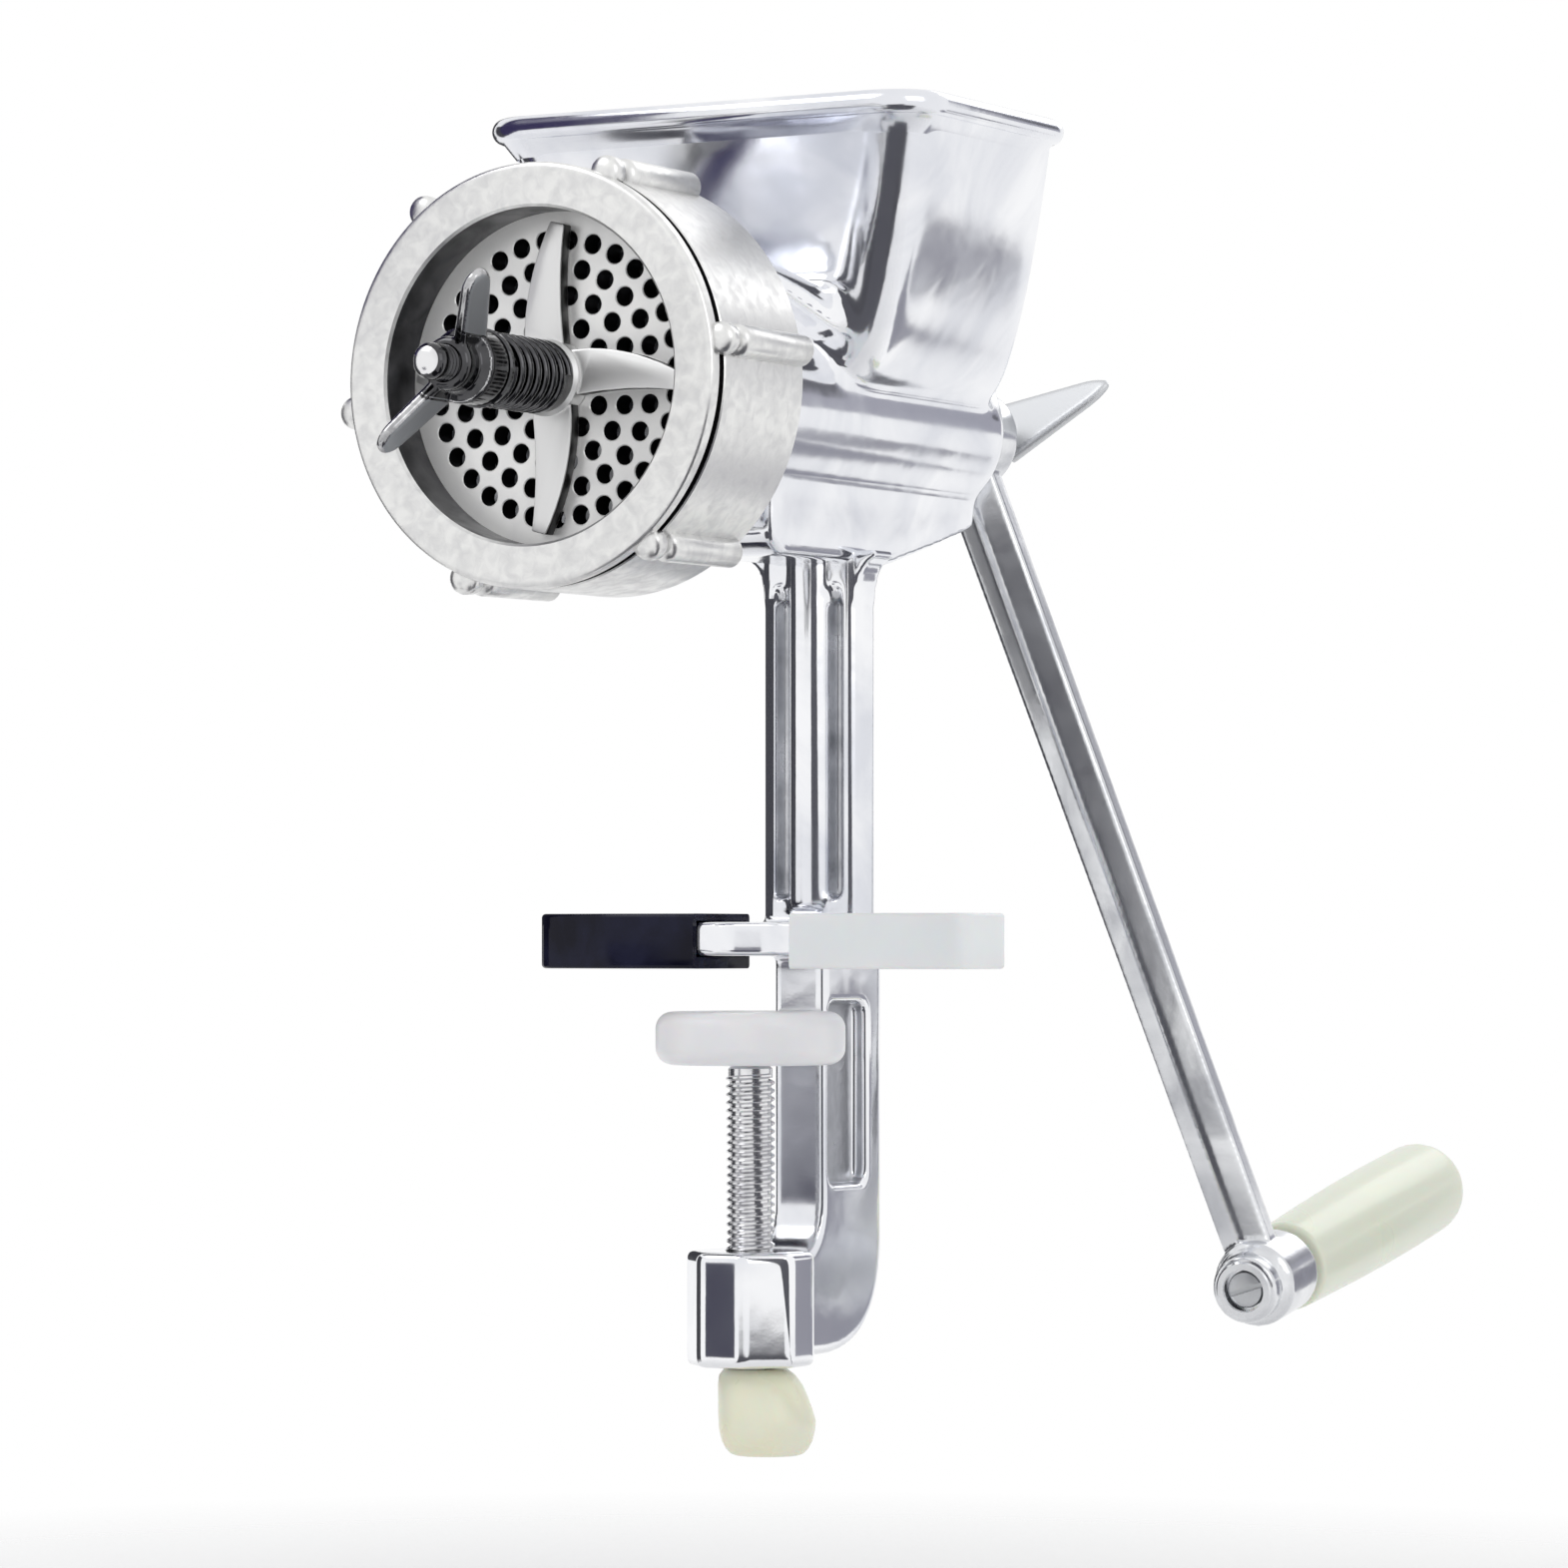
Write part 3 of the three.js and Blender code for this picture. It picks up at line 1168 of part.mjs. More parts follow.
/** Wing screw that holds the crank on the auger's square. */
function wingScrew() {
  const end = screwSeat + SCREW_COLLAR_LENGTH;
  const body = turned([
    [0, screwSeat],
    [SCREW_COLLAR_RADIUS, screwSeat],
    [SCREW_COLLAR_RADIUS, end - TURNED_EDGE],
    [SCREW_COLLAR_RADIUS - TURNED_EDGE, end],
    [0, end],
  ], MEDIUM);
  const thread = rod(WING_SCREW_RADIUS, hubBack - WING_SCREW_REACH, screwSeat + OVERLAP, COARSE);
  const dip = (SCREW_WING_WIDTH * Math.cos(rad(SCREW_WING_TWIST)) + WING_THICKNESS) / 2;
  const one = placed(wing({
    reach: SCREW_WING_REACH,
    width: SCREW_WING_WIDTH,
    thickness: WING_THICKNESS,
    flare: WING_FLARE / 4,
    root: SCREW_COLLAR_RADIUS,
    tip: SCREW_WING_TIP,
    twist: SCREW_WING_TWIST,
  }), shift(0, screwSeat + CLEARANCE + dip, 0));
  return join(
    body, thread, placed(one, aboutY(-SCREW_WING_ANGLE)), placed(one, aboutY(180 - SCREW_WING_ANGLE)));
}

// ---------------------------------------------------------------------------------------------
// Clamp group
// ---------------------------------------------------------------------------------------------

/** Soft pad that sleeves one arm of the jaw. */
function jawPad() {
  const outer = prismUp(jawOutline(PAD_SKIN), 0, jawTop + PAD_SKIN, 6);
  const inner = prismUp(jawOutline(CLEARANCE), jawBottom - CLEARANCE, jawTop + CLEARANCE, 6);
  const middle = block([-JAW_SPAN, -JAW_SPAN, -OVERCUT], [PAD_START, JAW_SPAN, jawTop + PAD_SKIN + OVERCUT]);
  return cut(outer, inner, middle);
}

/** Clamp disc with rounded edges and a stepped socket for the screw's end. */
function clampDisc() {
  const r = DISC_ROUNDING;
  const rows = [[0, discBottom], [DISC_RADIUS - r, discBottom]];
  for (const share of [1, 2, 3]) {
    const angle = rad(30 * share);
    rows.push([DISC_RADIUS - r + r * Math.sin(angle), discBottom + r - r * Math.cos(angle)]);
  }
  for (const share of [0, 1, 2, 3]) {
    const angle = rad(30 * share);
    rows.push([DISC_RADIUS - r + r * Math.cos(angle), discTop - r + r * Math.sin(angle)]);
  }
  rows.push([0, discTop]);
  const hole = upright(SPIGOT_RADIUS + CLEARANCE, discBottom - OVERCUT, discBottom + SPIGOT_LENGTH, COARSE);
  const chamber = upright(
    RETAINER_RADIUS + CLEARANCE,
    retainerBottom - CLEARANCE,
    retainerBottom + RETAINER_THICKNESS + CLEARANCE,
    COARSE);
  return cut(turnedUpright(rows, DISC_SIDES), hole, chamber);
}

const retainerBottom = discBottom + SPIGOT_LENGTH - 3 * RETAINER_THICKNESS;

/** Snap ring inside the disc that holds the screw's grooved spigot. */
function discRetainer() {
  return placed(
    ring(RETAINER_RADIUS, SPIGOT_RADIUS - GROOVE_DEPTH + CLEARANCE, 0, RETAINER_THICKNESS, COARSE),
    new THREE.Matrix4().makeRotationX(Math.PI / 2).setPosition(0, 0, retainerBottom));
}

/** Clamp screw with its spigot and the turned-down end inside the knob. */
function clampScrew() {
  const shoulderTop = discBottom - CLEARANCE;
  const neckTop = bossBottom - CLEARANCE;
  const neckBottom = neckTop - KNOB_SOCKET;
  const groove = SPIGOT_RADIUS - GROOVE_DEPTH;
  return turnedUpright([
    [0, neckBottom],
    [KNOB_NECK_RADIUS, neckBottom],
    [KNOB_NECK_RADIUS, neckTop],
    [SCREW_RADIUS, neckTop + THREAD_EDGE],
    [SCREW_RADIUS, shoulderTop - THREAD_EDGE],
    [SCREW_RADIUS - THREAD_EDGE, shoulderTop],
    [SPIGOT_RADIUS, shoulderTop],
    [SPIGOT_RADIUS, retainerBottom - CLEARANCE],
    [groove, retainerBottom - CLEARANCE],
    [groove, retainerBottom + RETAINER_THICKNESS + CLEARANCE],
    [SPIGOT_RADIUS, retainerBottom + RETAINER_THICKNESS + CLEARANCE],
    [SPIGOT_RADIUS, discBottom + SPIGOT_LENGTH - CLEARANCE],
    [0, discBottom + SPIGOT_LENGTH - CLEARANCE],
  ], MEDIUM);
}

/** Cross hole through the knob and the screw's end. */
function knobPinRod(radius, reach) {
  const height = bossBottom - KNOB_SOCKET / 2 - CLEARANCE;
  return placed(rod(radius, -reach, reach, COARSE), shift(0, 0, height));
}

/** Domed knob at the foot of the clamp screw, with its bulk to one side like a thumb turn. */
function clampKnob() {
  const top = bossBottom - CLEARANCE * 2;
  const bottom = top - KNOB_HEIGHT;
  const profile = [
    [KNOB_BASE_RADIUS, 0, 1],
    [KNOB_BASE_RADIUS + 1.4, 0.08, 1],
    [KNOB_RADIUS, 0.38, 1],
    [KNOB_RADIUS * 0.95, 0.58, 0.85],
    [(KNOB_RADIUS + KNOB_TOP_RADIUS) / 2 + 0.6, 0.84, 0.55],
    [KNOB_TOP_RADIUS, 1, 0.3],
  ];
  const rows = profile.map(([radius, share, offset]) => {
    const row = [];
    for (let i = 0; i < MEDIUM; i += 1) {
      const angle = (2 * Math.PI * i) / MEDIUM;
      row.push(new THREE.Vector3(
        KNOB_OFFSET * offset + radius * Math.cos(angle),
        radius * Math.sin(angle),
        bottom + KNOB_HEIGHT * share));
    }
    return row;
  });
  const socket = upright(
    KNOB_NECK_RADIUS + CLEARANCE, bossBottom - KNOB_SOCKET - 2 * CLEARANCE, top + OVERCUT, COARSE);
  return cut(loft(rows), socket, knobPinRod(KNOB_PIN_RADIUS + CLEARANCE, KNOB_RADIUS + OVERCUT));
}

// ---------------------------------------------------------------------------------------------
// Assembly
// ---------------------------------------------------------------------------------------------
const grinder = new THREE.Group();
grinder.add(piece('body_casting', casting(), 'castAluminium'));
grinder.add(piece('jaw_pad_right', jawPad(), 'milkPlastic'));
grinder.add(piece('jaw_pad_left', jawPad().mirror([1, 0, 0]), 'blackPlastic'));

const barrel = new THREE.Group();
barrel.position.z = AXIS_HEIGHT;
barrel.add(piece('ring_nut', ringNut(), 'satinAluminium'));
barrel.add(piece('die_plate', diePlate(), 'brightPlate'));
barrel.add(piece('plate_bush', plateBush(), 'bronze'));
barrel.add(piece('plate_key', plateKey(), 'plainSteel'));
barrel.add(piece('cutter', cutter(), 'bladeSteel'));
barrel.add(piece('cutter_spring', cutterSpring(), 'darkSteel'));
barrel.add(piece('nut_washer', nutWasher(), 'darkSteel'));
barrel.add(piece('wing_nut', wingNut(), 'darkSteel'));
barrel.add(piece('front_stud', frontStud(), 'plainSteel'));
barrel.add(piece('rear_bush', rearBush(), 'bronze'));
barrel.add(piece('thrust_washer', thrustWasher(), 'bronze'));
grinder.add(barrel);

const crank = new THREE.Group();
crank.position.z = AXIS_HEIGHT;
crank.rotation.y = -rad(CRANK_REST_ANGLE);
crank.add(piece('auger', auger(), 'castAluminium'));
crank.add(piece('crank_arm', crankArm(), 'castAluminium'));
const handle = new THREE.Group();
gripFrame().decompose(handle.position, handle.quaternion, handle.scale);
handle.add(piece('grip_bolt', gripBolt(), 'plainSteel'));
handle.add(piece('grip_washer', gripWasher(), 'plainSteel'));
handle.add(piece('grip', grip(), 'paleGrip'));
handle.add(piece('grip_cap', gripCap(), 'paleGrip'));
crank.add(handle);
grinder.add(crank);

const retention = new THREE.Group();
retention.position.z = AXIS_HEIGHT;
retention.add(piece('crank_washer', crankWasher(), 'plainSteel'));
retention.add(piece('wing_screw', wingScrew(), 'plainSteel'));
grinder.add(retention);

const knobHole = knobPinRod(KNOB_PIN_RADIUS + CLEARANCE, KNOB_RADIUS + OVERCUT);
grinder.add(piece('clamp_disc', clampDisc(), 'milkPlastic'));
grinder.add(piece('disc_retainer', discRetainer(), 'plainSteel'));
grinder.add(piece('clamp_screw', cut(clampScrew(), knobHole), 'plainSteel'));
grinder.add(piece('clamp_knob', clampKnob(), 'paleKnob'));
grinder.add(piece('knob_pin', knobPinRod(KNOB_PIN_RADIUS, KNOB_RADIUS - TURNED_EDGE), 'plainSteel'));

export default grinder;
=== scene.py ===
"""Hand crank meat grinder: every visible piece and its finish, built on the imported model's frame."""
import logging
import math
from dataclasses import dataclass
from enum import Enum
from functools import cache
from typing import Callable, Iterable, Sequence

import bmesh
import bpy
from mathutils import Matrix, Vector


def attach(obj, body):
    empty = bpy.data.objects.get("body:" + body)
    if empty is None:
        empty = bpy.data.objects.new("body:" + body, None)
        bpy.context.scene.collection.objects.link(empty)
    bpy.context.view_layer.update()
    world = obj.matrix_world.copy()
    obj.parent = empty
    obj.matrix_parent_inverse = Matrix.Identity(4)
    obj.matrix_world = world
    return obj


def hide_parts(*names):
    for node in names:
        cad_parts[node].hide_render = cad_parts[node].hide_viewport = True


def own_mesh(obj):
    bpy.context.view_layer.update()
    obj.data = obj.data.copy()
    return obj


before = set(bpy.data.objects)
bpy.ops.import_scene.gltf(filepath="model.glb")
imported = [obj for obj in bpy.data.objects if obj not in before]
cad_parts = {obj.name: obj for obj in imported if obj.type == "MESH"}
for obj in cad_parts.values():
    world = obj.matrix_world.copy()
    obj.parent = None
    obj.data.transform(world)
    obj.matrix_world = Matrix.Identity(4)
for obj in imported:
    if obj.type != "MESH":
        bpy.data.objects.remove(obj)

Point = tuple[float, float]
Triple = tuple[float, float, float]
Mesh = bmesh.types.BMesh

log = logging.getLogger("meat_grinder")

MM = 0.001
AXIS_HEIGHT = 132.0
KEY_HEIGHT = AXIS_HEIGHT + 39.6
CRANK_ANGLE = 17.2
CRANK_REACH = 219.5
GRIP_BOSS = 142.29
GRIP_LEAN = 10.3

BARREL = Matrix.Translation((0, 0, AXIS_HEIGHT))
UPRIGHT = Matrix.Rotation(math.pi / 2, 4, "X")
CRANK = BARREL @ Matrix.Rotation(math.radians(-CRANK_ANGLE), 4, "Y")
GRIP = CRANK @ Matrix.Translation((0, GRIP_BOSS, -CRANK_REACH))
GRIP = GRIP @ Matrix.Rotation(math.radians(GRIP_LEAN), 4, "X")


# ---------------------------------------------------------------- outlines


class Facing(Enum):
    """Which way the thickness of a flat outline runs."""

    ACROSS = "outline in (y, z), thickness along X"
    ALONG = "outline in (x, z), thickness along Y"
    UP = "outline in (x, y), thickness along Z"

    def point(self, spot: Point, depth: float) -> Vector:
        """The corner of a flat outline at that depth of its thickness.

        Args:
            spot: the outline's two coordinates, mm.
            depth: the third coordinate, mm.

        Returns:
            The point in the shared frame, mm.
        """
        first, second = spot
        if self is Facing.ACROSS:
            return Vector((depth, first, second))
        if self is Facing.ALONG:
            return Vector((first, depth, second))
        return Vector((first, second, depth))


def lerp(start: float, end: float, share: float) -> float:
    """The value that far from start to end."""
    return start + (end - start) * share


def arc(centre: Point, radius: float, start: float, end: float, steps: int) -> list[Point]:
    """Points on an arc between two angles in degrees, in that many stretches, both ends among them."""
    angles = [math.radians(lerp(start, end, i / steps)) for i in range(steps + 1)]
    return [(centre[0] + radius * math.cos(a), centre[1] + radius * math.sin(a)) for a in angles]


def sweep(start: Point, control: Point, end: Point, steps: int = 10) -> list[Point]:
    """Points on a quadratic curve.

    Args:
        start: where the curve begins.
        control: the point that pulls it.
        end: where it ends.
        steps: how many stretches it is divided into.

    Returns:
        The points after the first, up to the end.
    """
    points = []
    for i in range(1, steps + 1):
        t = i / steps
        near, pull, far = (1 - t) ** 2, 2 * t * (1 - t), t * t
        points.append(tuple(near * start[k] + pull * control[k] + far * end[k] for k in (0, 1)))
    return points


def box(half: float, low: float, high: float) -> list[Point]:
    """A rectangle that reaches as far to each side."""
    return [(-half, low), (half, low), (half, high), (-half, high)]


def chamfered(
    inner: float, outer: float, start: float, end: float, across: float, along: float,
) -> list[Point]:
    """The profile of a pin or washer.

    Args:
        inner: the radius of its hole, or 0.
        outer: its own radius.
        start: where it starts along the axis.
        end: where it ends.
        across: how much the chamfers on its outer edges take off the radius.
        along: how much they take off the length.

    Returns:
        The profile's (radius, distance along the axis) points.
    """
    return [(inner, start), (outer - across, start), (outer, start + along), (outer, end - along),
            (outer - across, end), (inner, end)]


def rounded(
    width: float, length: float, corner: float, centre: Point = (0, 0), steps: int = 6,
) -> list[Point]:
    """A rectangle with rounded corners.

    Args:
        width: its size along the first coordinate.
        length: its size along the second.
        corner: the corners' radius.
        centre: its middle.
        steps: stretches in each corner.

    Returns:
        The outline, anticlockwise.
    """
    points: list[Point] = []
    for quarter, (side, end) in enumerate(((1, 1), (-1, 1), (-1, -1), (1, -1))):
        middle = (centre[0] + side * (width / 2 - corner), centre[1] + end * (length / 2 - corner))
        points += arc(middle, corner, 90 * quarter, 90 * quarter + 90, steps)
    return points


def mirrored(half: Sequence[Point]) -> list[Point]:
    """A half outline and its mirror image across the first coordinate."""
    return list(half) + [(-x, y) for x, y in reversed(half)]


# ---------------------------------------------------------------- solids


def tidied(shape: Mesh) -> Mesh:
    """Merges a mesh's doubles and turns its faces outwards.

    Args:
        shape: the mesh to change.

    Returns:
        The same mesh.
    """
    bmesh.ops.remove_doubles(shape, verts=shape.verts, dist=0.0005)
    bmesh.ops.recalc_face_normals(shape, faces=shape.faces)
    return shape


def moved(shape: Mesh, matrix: Matrix) -> Mesh:
    """The mesh carried by a matrix."""
    bmesh.ops.transform(shape, matrix=matrix, verts=shape.verts)
    return shape


def looped(shape: Mesh, points: Iterable[Triple]) -> tuple[list, list]:
    """The corners and edges of a closed loop added to the mesh."""
    corners = [shape.verts.new(point) for point in points]
    return corners, [shape.edges.new((corners[i - 1], corners[i])) for i in range(len(corners))]


def chained(shape: Mesh, profile: Sequence[Point]) -> list:
    """Adds an open row to a mesh, with an edge from each corner to the next.

    Args:
        shape: the mesh to add to.
        profile: (radius, distance along the axis) points, mm.

    Returns:
        The new corners.
    """
    row = [shape.verts.new((radius, along, 0.0)) for radius, along in profile]
    for pair in zip(row, row[1:]):
        shape.edges.new(pair)
    return row


def thickened(shape: Mesh, way: Vector) -> Mesh:
    """Makes a solid by carrying a mesh's flat faces along.

    Args:
        shape: the mesh with the flat faces.
        way: how far and which way they go, mm.

    Returns:
        The closed mesh.
    """
    grown = bmesh.ops.extrude_face_region(shape, geom=list(shape.faces))["geom"]
    corners = [part for part in grown if isinstance(part, bmesh.types.BMVert)]
    bmesh.ops.translate(shape, vec=way, verts=corners)
    return tidied(shape)


def spun(
    shape: Mesh, placing: Matrix, steps: int, turns: float = 1.0, rise: float = 0.0, weld: float = 0.0,
) -> Mesh:
    """Spins all of a mesh about its Y axis and puts the result in place.

    Args:
        shape: the section's corners and edges, mm.
        placing: where the axis stands.
        steps: stretches in the whole spin.
        turns: how many turns it makes.
        rise: how far it goes along the axis in each stretch. A turn with no rise closes on itself.
        weld: corners this near are merged before the two ends are closed.

    Returns:
        The closed mesh.
    """
    bmesh.ops.spin(
        shape, geom=[*shape.verts, *shape.edges], cent=(0, 0, 0), axis=(0, 1, 0), dvec=(0, rise, 0),
        angle=math.tau * turns, steps=steps, use_merge=not rise, use_duplicate=False)
    if weld:
        bmesh.ops.remove_doubles(shape, verts=shape.verts, dist=weld)
    if rise:
        bmesh.ops.holes_fill(shape, edges=[edge for edge in shape.edges if edge.is_boundary], sides=0)
    return moved(tidied(shape), placing)


def turned(profile: Sequence[Point], placing: Matrix, steps: int = 96, closed: bool = False) -> Mesh:
    """Spins a profile about the placing's own Y axis.

    Args:
        profile: (radius, distance along the axis) points, mm.
        placing: where the axis stands.
        steps: stretches in the turn.
        closed: whether the last point joins the first, as on a ring.

    Returns:
        The closed mesh.
    """
    shape = bmesh.new()
    row = chained(shape, profile)
    if closed:
        shape.edges.new((row[-1], row[0]))
    return spun(shape, placing, steps)


def rod(radius: float, start: float, end: float, placing: Matrix, steps: int) -> Mesh:
    """A plain round bar between two distances along the placing's Y axis."""
    return turned([(0, start), (radius, start), (radius, end), (0, end)], placing, steps)


def coiled(section: Sequence[Point], turns: float, pitch: float, placing: Matrix, steps: int = 36) -> Mesh:
    """A closed section carried along a helix.

    Args:
        section: (radius, distance along the axis) points of the closed section, mm.
        turns: how many turns it makes.
        pitch: how far it goes in one turn.
        placing: where the axis stands.
        steps: stretches in one turn.

    Returns:
        The closed mesh.
    """
    shape = bmesh.new()
    looped(shape, [(radius, along, 0.0) for radius, along in section])
    return spun(shape, placing, round(turns * steps), turns, pitch / steps)


def threaded(crest: float, root: float, start: float, end: float, pitch: float, placing: Matrix) -> Mesh:
    """A screw thread: a row of teeth spun once while it moves on by one tooth.

    Args:
        crest: the thread's outer radius.
        root: the radius between its teeth.
        start: where it starts along the axis.
        end: where it ends.
        pitch: the distance between teeth.
        placing: where the axis stands.

    Returns:
        The closed mesh.
    """
    steps, count = 32, int((end - start) / pitch) - 1
    tooth = ((root, 0), (root, 0.22), (crest, 0.5), (crest, 0.72))
    profile = [(radius, start + i * pitch + share * pitch) for i in range(count) for radius, share in tooth]
    shape = bmesh.new()
    chained(shape, [*profile, (root, start + count * pitch)])
    return spun(shape, placing, steps, 1.0, pitch / steps, 0.01)


def extruded(outline: Sequence[Point], facing: Facing, low: float, high: float) -> Mesh:
    """A flat outline given a thickness.

    Args:
        outline: the outline's points, mm.
        facing: which way the thickness runs.
        low: where it starts.
        high: where it ends.

    Returns:
        The closed mesh.
    """
    shape = bmesh.new()
    shape.faces.new([shape.verts.new(facing.point(spot, low)) for spot in outline])
    return thickened(shape, facing.point((0, 0), high - low))


def lofted(rings: Sequence[Sequence[Vector]], closed: bool = False) -> Mesh:
    """A skin through loops of points.

    Args:
        rings: the loops, each with the same number of points.
        closed: whether the last loop joins the first. Otherwise both ends get a face.

    Returns:
        The closed mesh.
    """
    shape = bmesh.new()
    loops = []
    for ring in rings:
        ends, edges = looped(shape, ring)
        loops.append(edges)
        if not closed and len(loops) in (1, len(rings)):
            shape.faces.new(ends)
    for near, far in zip(loops, loops[1:] + (loops[:1] if closed else [])):
        bmesh.ops.bridge_loops(shape, edges=near + far)
    return tidied(shape)


def as_object(shape: Mesh, name: str = "work") -> bpy.types.Object:
    """Puts a mesh into the scene as a new object.

    Args:
        shape: the mesh, which is used up.
        name: the object's name.

    Returns:
        The object.
    """
    mesh = bpy.data.meshes.new(name)
    shape.to_mesh(mesh)
    shape.free()
    holder = bpy.data.objects.new(name, mesh)
    bpy.context.scene.collection.objects.link(holder)
    return holder


def drop(holder: bpy.types.Object) -> None:
    """Removes a short-lived object and its mesh.

    Args:
        holder: the object.
    """
    mesh = holder.data
    bpy.data.objects.remove(holder)
    bpy.data.meshes.remove(mesh)


def merged(shapes: Iterable[Mesh]) -> Mesh:
    """One mesh of several, each still its own shell.

    Args:
        shapes: the meshes, which are used up.

    Returns:
        The new mesh.
    """
    whole = bmesh.new()
    for shape in shapes:
        holder = as_object(shape)
        whole.from_mesh(holder.data)
        drop(holder)
    return whole


def worked(shape: Mesh, kind: str, **settings: object) -> Mesh:
    """The mesh after one modifier.

    Args:
        shape: the mesh, which is used up.
        kind: the modifier's type.
        settings: the modifier's settings by name.

    Returns:
        The changed mesh.
    """
    holder = as_object(shape)
    modifier = holder.modifiers.new("work", kind)
    for name, value in settings.items():
        setattr(modifier, name, value)
    result = bmesh.new()
    result.from_object(holder, bpy.context.evaluated_depsgraph_get())
    drop(holder)
    return result


class Join(Enum):
    """How a second solid changes the first."""

    ADD = "UNION"
    CUT = "DIFFERENCE"
    KEEP = "INTERSECT"


def combined(body: Mesh, tools: Iterable[Mesh], how: Join) -> Mesh:
    """A solid added to, cut or kept by others in turn.

    Args:
        body: the solid to change, which is used up.
        tools: the solids that change it, which are used up too.
        how: what they do.

    Returns:
        The changed solid.
    """
    for tool in tools:
        holder = as_object(tool)
        body = worked(body, "BOOLEAN", operation=how.value, solver="MANIFOLD", object=holder)
        drop(holder)
    return body


def fused(shapes: Iterable[Mesh], cell: float, passes: int) -> Mesh:
    """Overlapping solids melted into one casting, with its creases rounded.

    Args:
        shapes: the solids, which are used up.
        cell: the size of the new faces, mm.
        passes: how many times the surface is smoothed.

    Returns:
        The closed mesh.
    """
    whole = worked(merged(shapes), "REMESH", mode="VOXEL", voxel_size=cell)
    for _ in range(passes):
        bmesh.ops.smooth_vert(
            whole, verts=whole.verts, factor=0.5, use_axis_x=True, use_axis_y=True, use_axis_z=True)
    return whole


def eased(shape: Mesh, width: float, least: float, segments: int, material: int) -> None:
    """Bevels the edges whose faces meet at more than an angle.

    Args:
        shape: the mesh to change.
        width: the bevel's width, mm.
        least: the smallest angle between faces that is bevelled, radians.
        segments: the bevel's steps.
        material: the number of the finish on the new faces, or -1 for the one beside them.
    """
    sharp = [edge for edge in shape.edges if edge.calc_face_angle(0.0) > least]
    bmesh.ops.bevel(
        shape, geom=sharp, offset=width, segments=segments, profile=0.5, affect="EDGES", material=material,
        clamp_overlap=True)


def bevelled(shape: Mesh, width: float, segments: int = 2, least: float = 30.0) -> Mesh:
    """The mesh with its edges rounded, that wide, where they are sharper than the least angle in degrees."""
    eased(shape, width, math.radians(least), segments, -1)
    return tidied(shape)


def painted(shape: Mesh, slot_of: Callable[[Vector, Vector, float], int]) -> Mesh:
    """Gives each face its finish.

    Args:
        shape: the mesh to change.
        slot_of: the finish's number for a face's middle, its normal and how far it is from the barrel's axis.

    Returns:
        The same mesh.
    """
    for face in shape.faces:
        middle = face.calc_center_median()
        reach = math.hypot(middle.x, middle.z - AXIS_HEIGHT)
        face.material_index = int(slot_of(middle, face.normal, reach))
    return shape


# ---------------------------------------------------------------- finishes


class Wiring:
    """Adds nodes to a tree and joins them."""

    def __init__(self, tree: bpy.types.NodeTree) -> None:
        """Works on that node tree."""
        self.tree = tree

    def feed(self, node: bpy.types.Node, feeds: dict[str | int, object]) -> None:
        """Fills a node's inputs.

        Args:
            node: the node.
            feeds: its input sockets by name or number, each with a socket to link or a value to set.
        """
        for label, value in feeds.items():
            if isinstance(value, bpy.types.NodeSocket):
                self.tree.links.new(value, node.inputs[label])
            else:
                node.inputs[label].default_value = value

    def add(
        self, kind: str, feeds: dict[str | int, object] | None = None, **settings: object,
    ) -> bpy.types.Node:
        """A new node.

        Args:
            kind: the node's type.
            feeds: what its input sockets get.
            settings: the node's own settings.

        Returns:
            The node.
        """
        node = self.tree.nodes.new(kind)
        for name, value in settings.items():
            setattr(node, name, value)
        self.feed(node, feeds or {})
        return node

    def per_metre(self, size: bpy.types.NodeSocket) -> bpy.types.NodeSocket:
        """The pattern scale that gives features of that many millimetres."""
        return self.add("ShaderNodeMath", {0: 1 / MM, 1: size}, operation="DIVIDE").outputs[0]

    def noise(self, vector: object, scale: object, detail: float, twist: float = 0.0) -> bpy.types.NodeSocket:
        """The value of a noise pattern at that scale."""
        feeds = {"Vector": vector, "Scale": scale, "Detail": detail, "Distortion": twist}
        return self.add("ShaderNodeTexNoise", feeds).outputs[0]

    def ranged(
        self, value: object, low: float, high: float, start: float = 0, end: float = 1,
    ) -> bpy.types.NodeSocket:
        """A value stretched from low..high to start..end."""
        feeds = {"Value": value, "From Min": low, "From Max": high, "To Min": start, "To Max": end}
        return self.add("ShaderNodeMapRange", feeds).outputs[0]

    def mixed(self, share: object, one: Triple, other: Triple) -> bpy.types.NodeSocket:
        """A colour that goes from one to the other."""
        feeds = {0: share, 6: (*one, 1), 7: (*other, 1)}
        return self.add("ShaderNodeMix", feeds, data_type="RGBA").outputs[2]

    def bump(self, height: object, depth: float, normal: object = None) -> bpy.types.NodeSocket:
        """The normal of a bump that many mm deep, on top of another normal where one is given."""
        feeds = {"Height": height, "Distance": depth * MM} | ({"Normal": normal} if normal else {})
        return self.add("ShaderNodeBump", feeds).outputs[0]


def group_of(name: str, inputs: dict[str, float], outputs: Sequence[str]) -> bpy.types.NodeTree:
    """A new shader node group with a Vector input.

    Args:
        name: the group's name.
        inputs: its number inputs and their usual values.
        outputs: the names of its number outputs.

    Returns:
        The group, with its Group Input and Group Output nodes in place.
    """
    tree = bpy.data.node_groups.new(name, "ShaderNodeTree")
    tree.interface.new_socket("Vector", in_out="INPUT", socket_type="NodeSocketVector")
    for label, usual in inputs.items():
        tree.interface.new_socket(label, in_out="INPUT", socket_type="NodeSocketFloat").default_value = usual
    for label in outputs:
        tree.interface.new_socket(label, in_out="OUTPUT", socket_type="NodeSocketFloat")
    tree.nodes.new("NodeGroupInput")
    tree.nodes.new("NodeGroupOutput")
    return tree


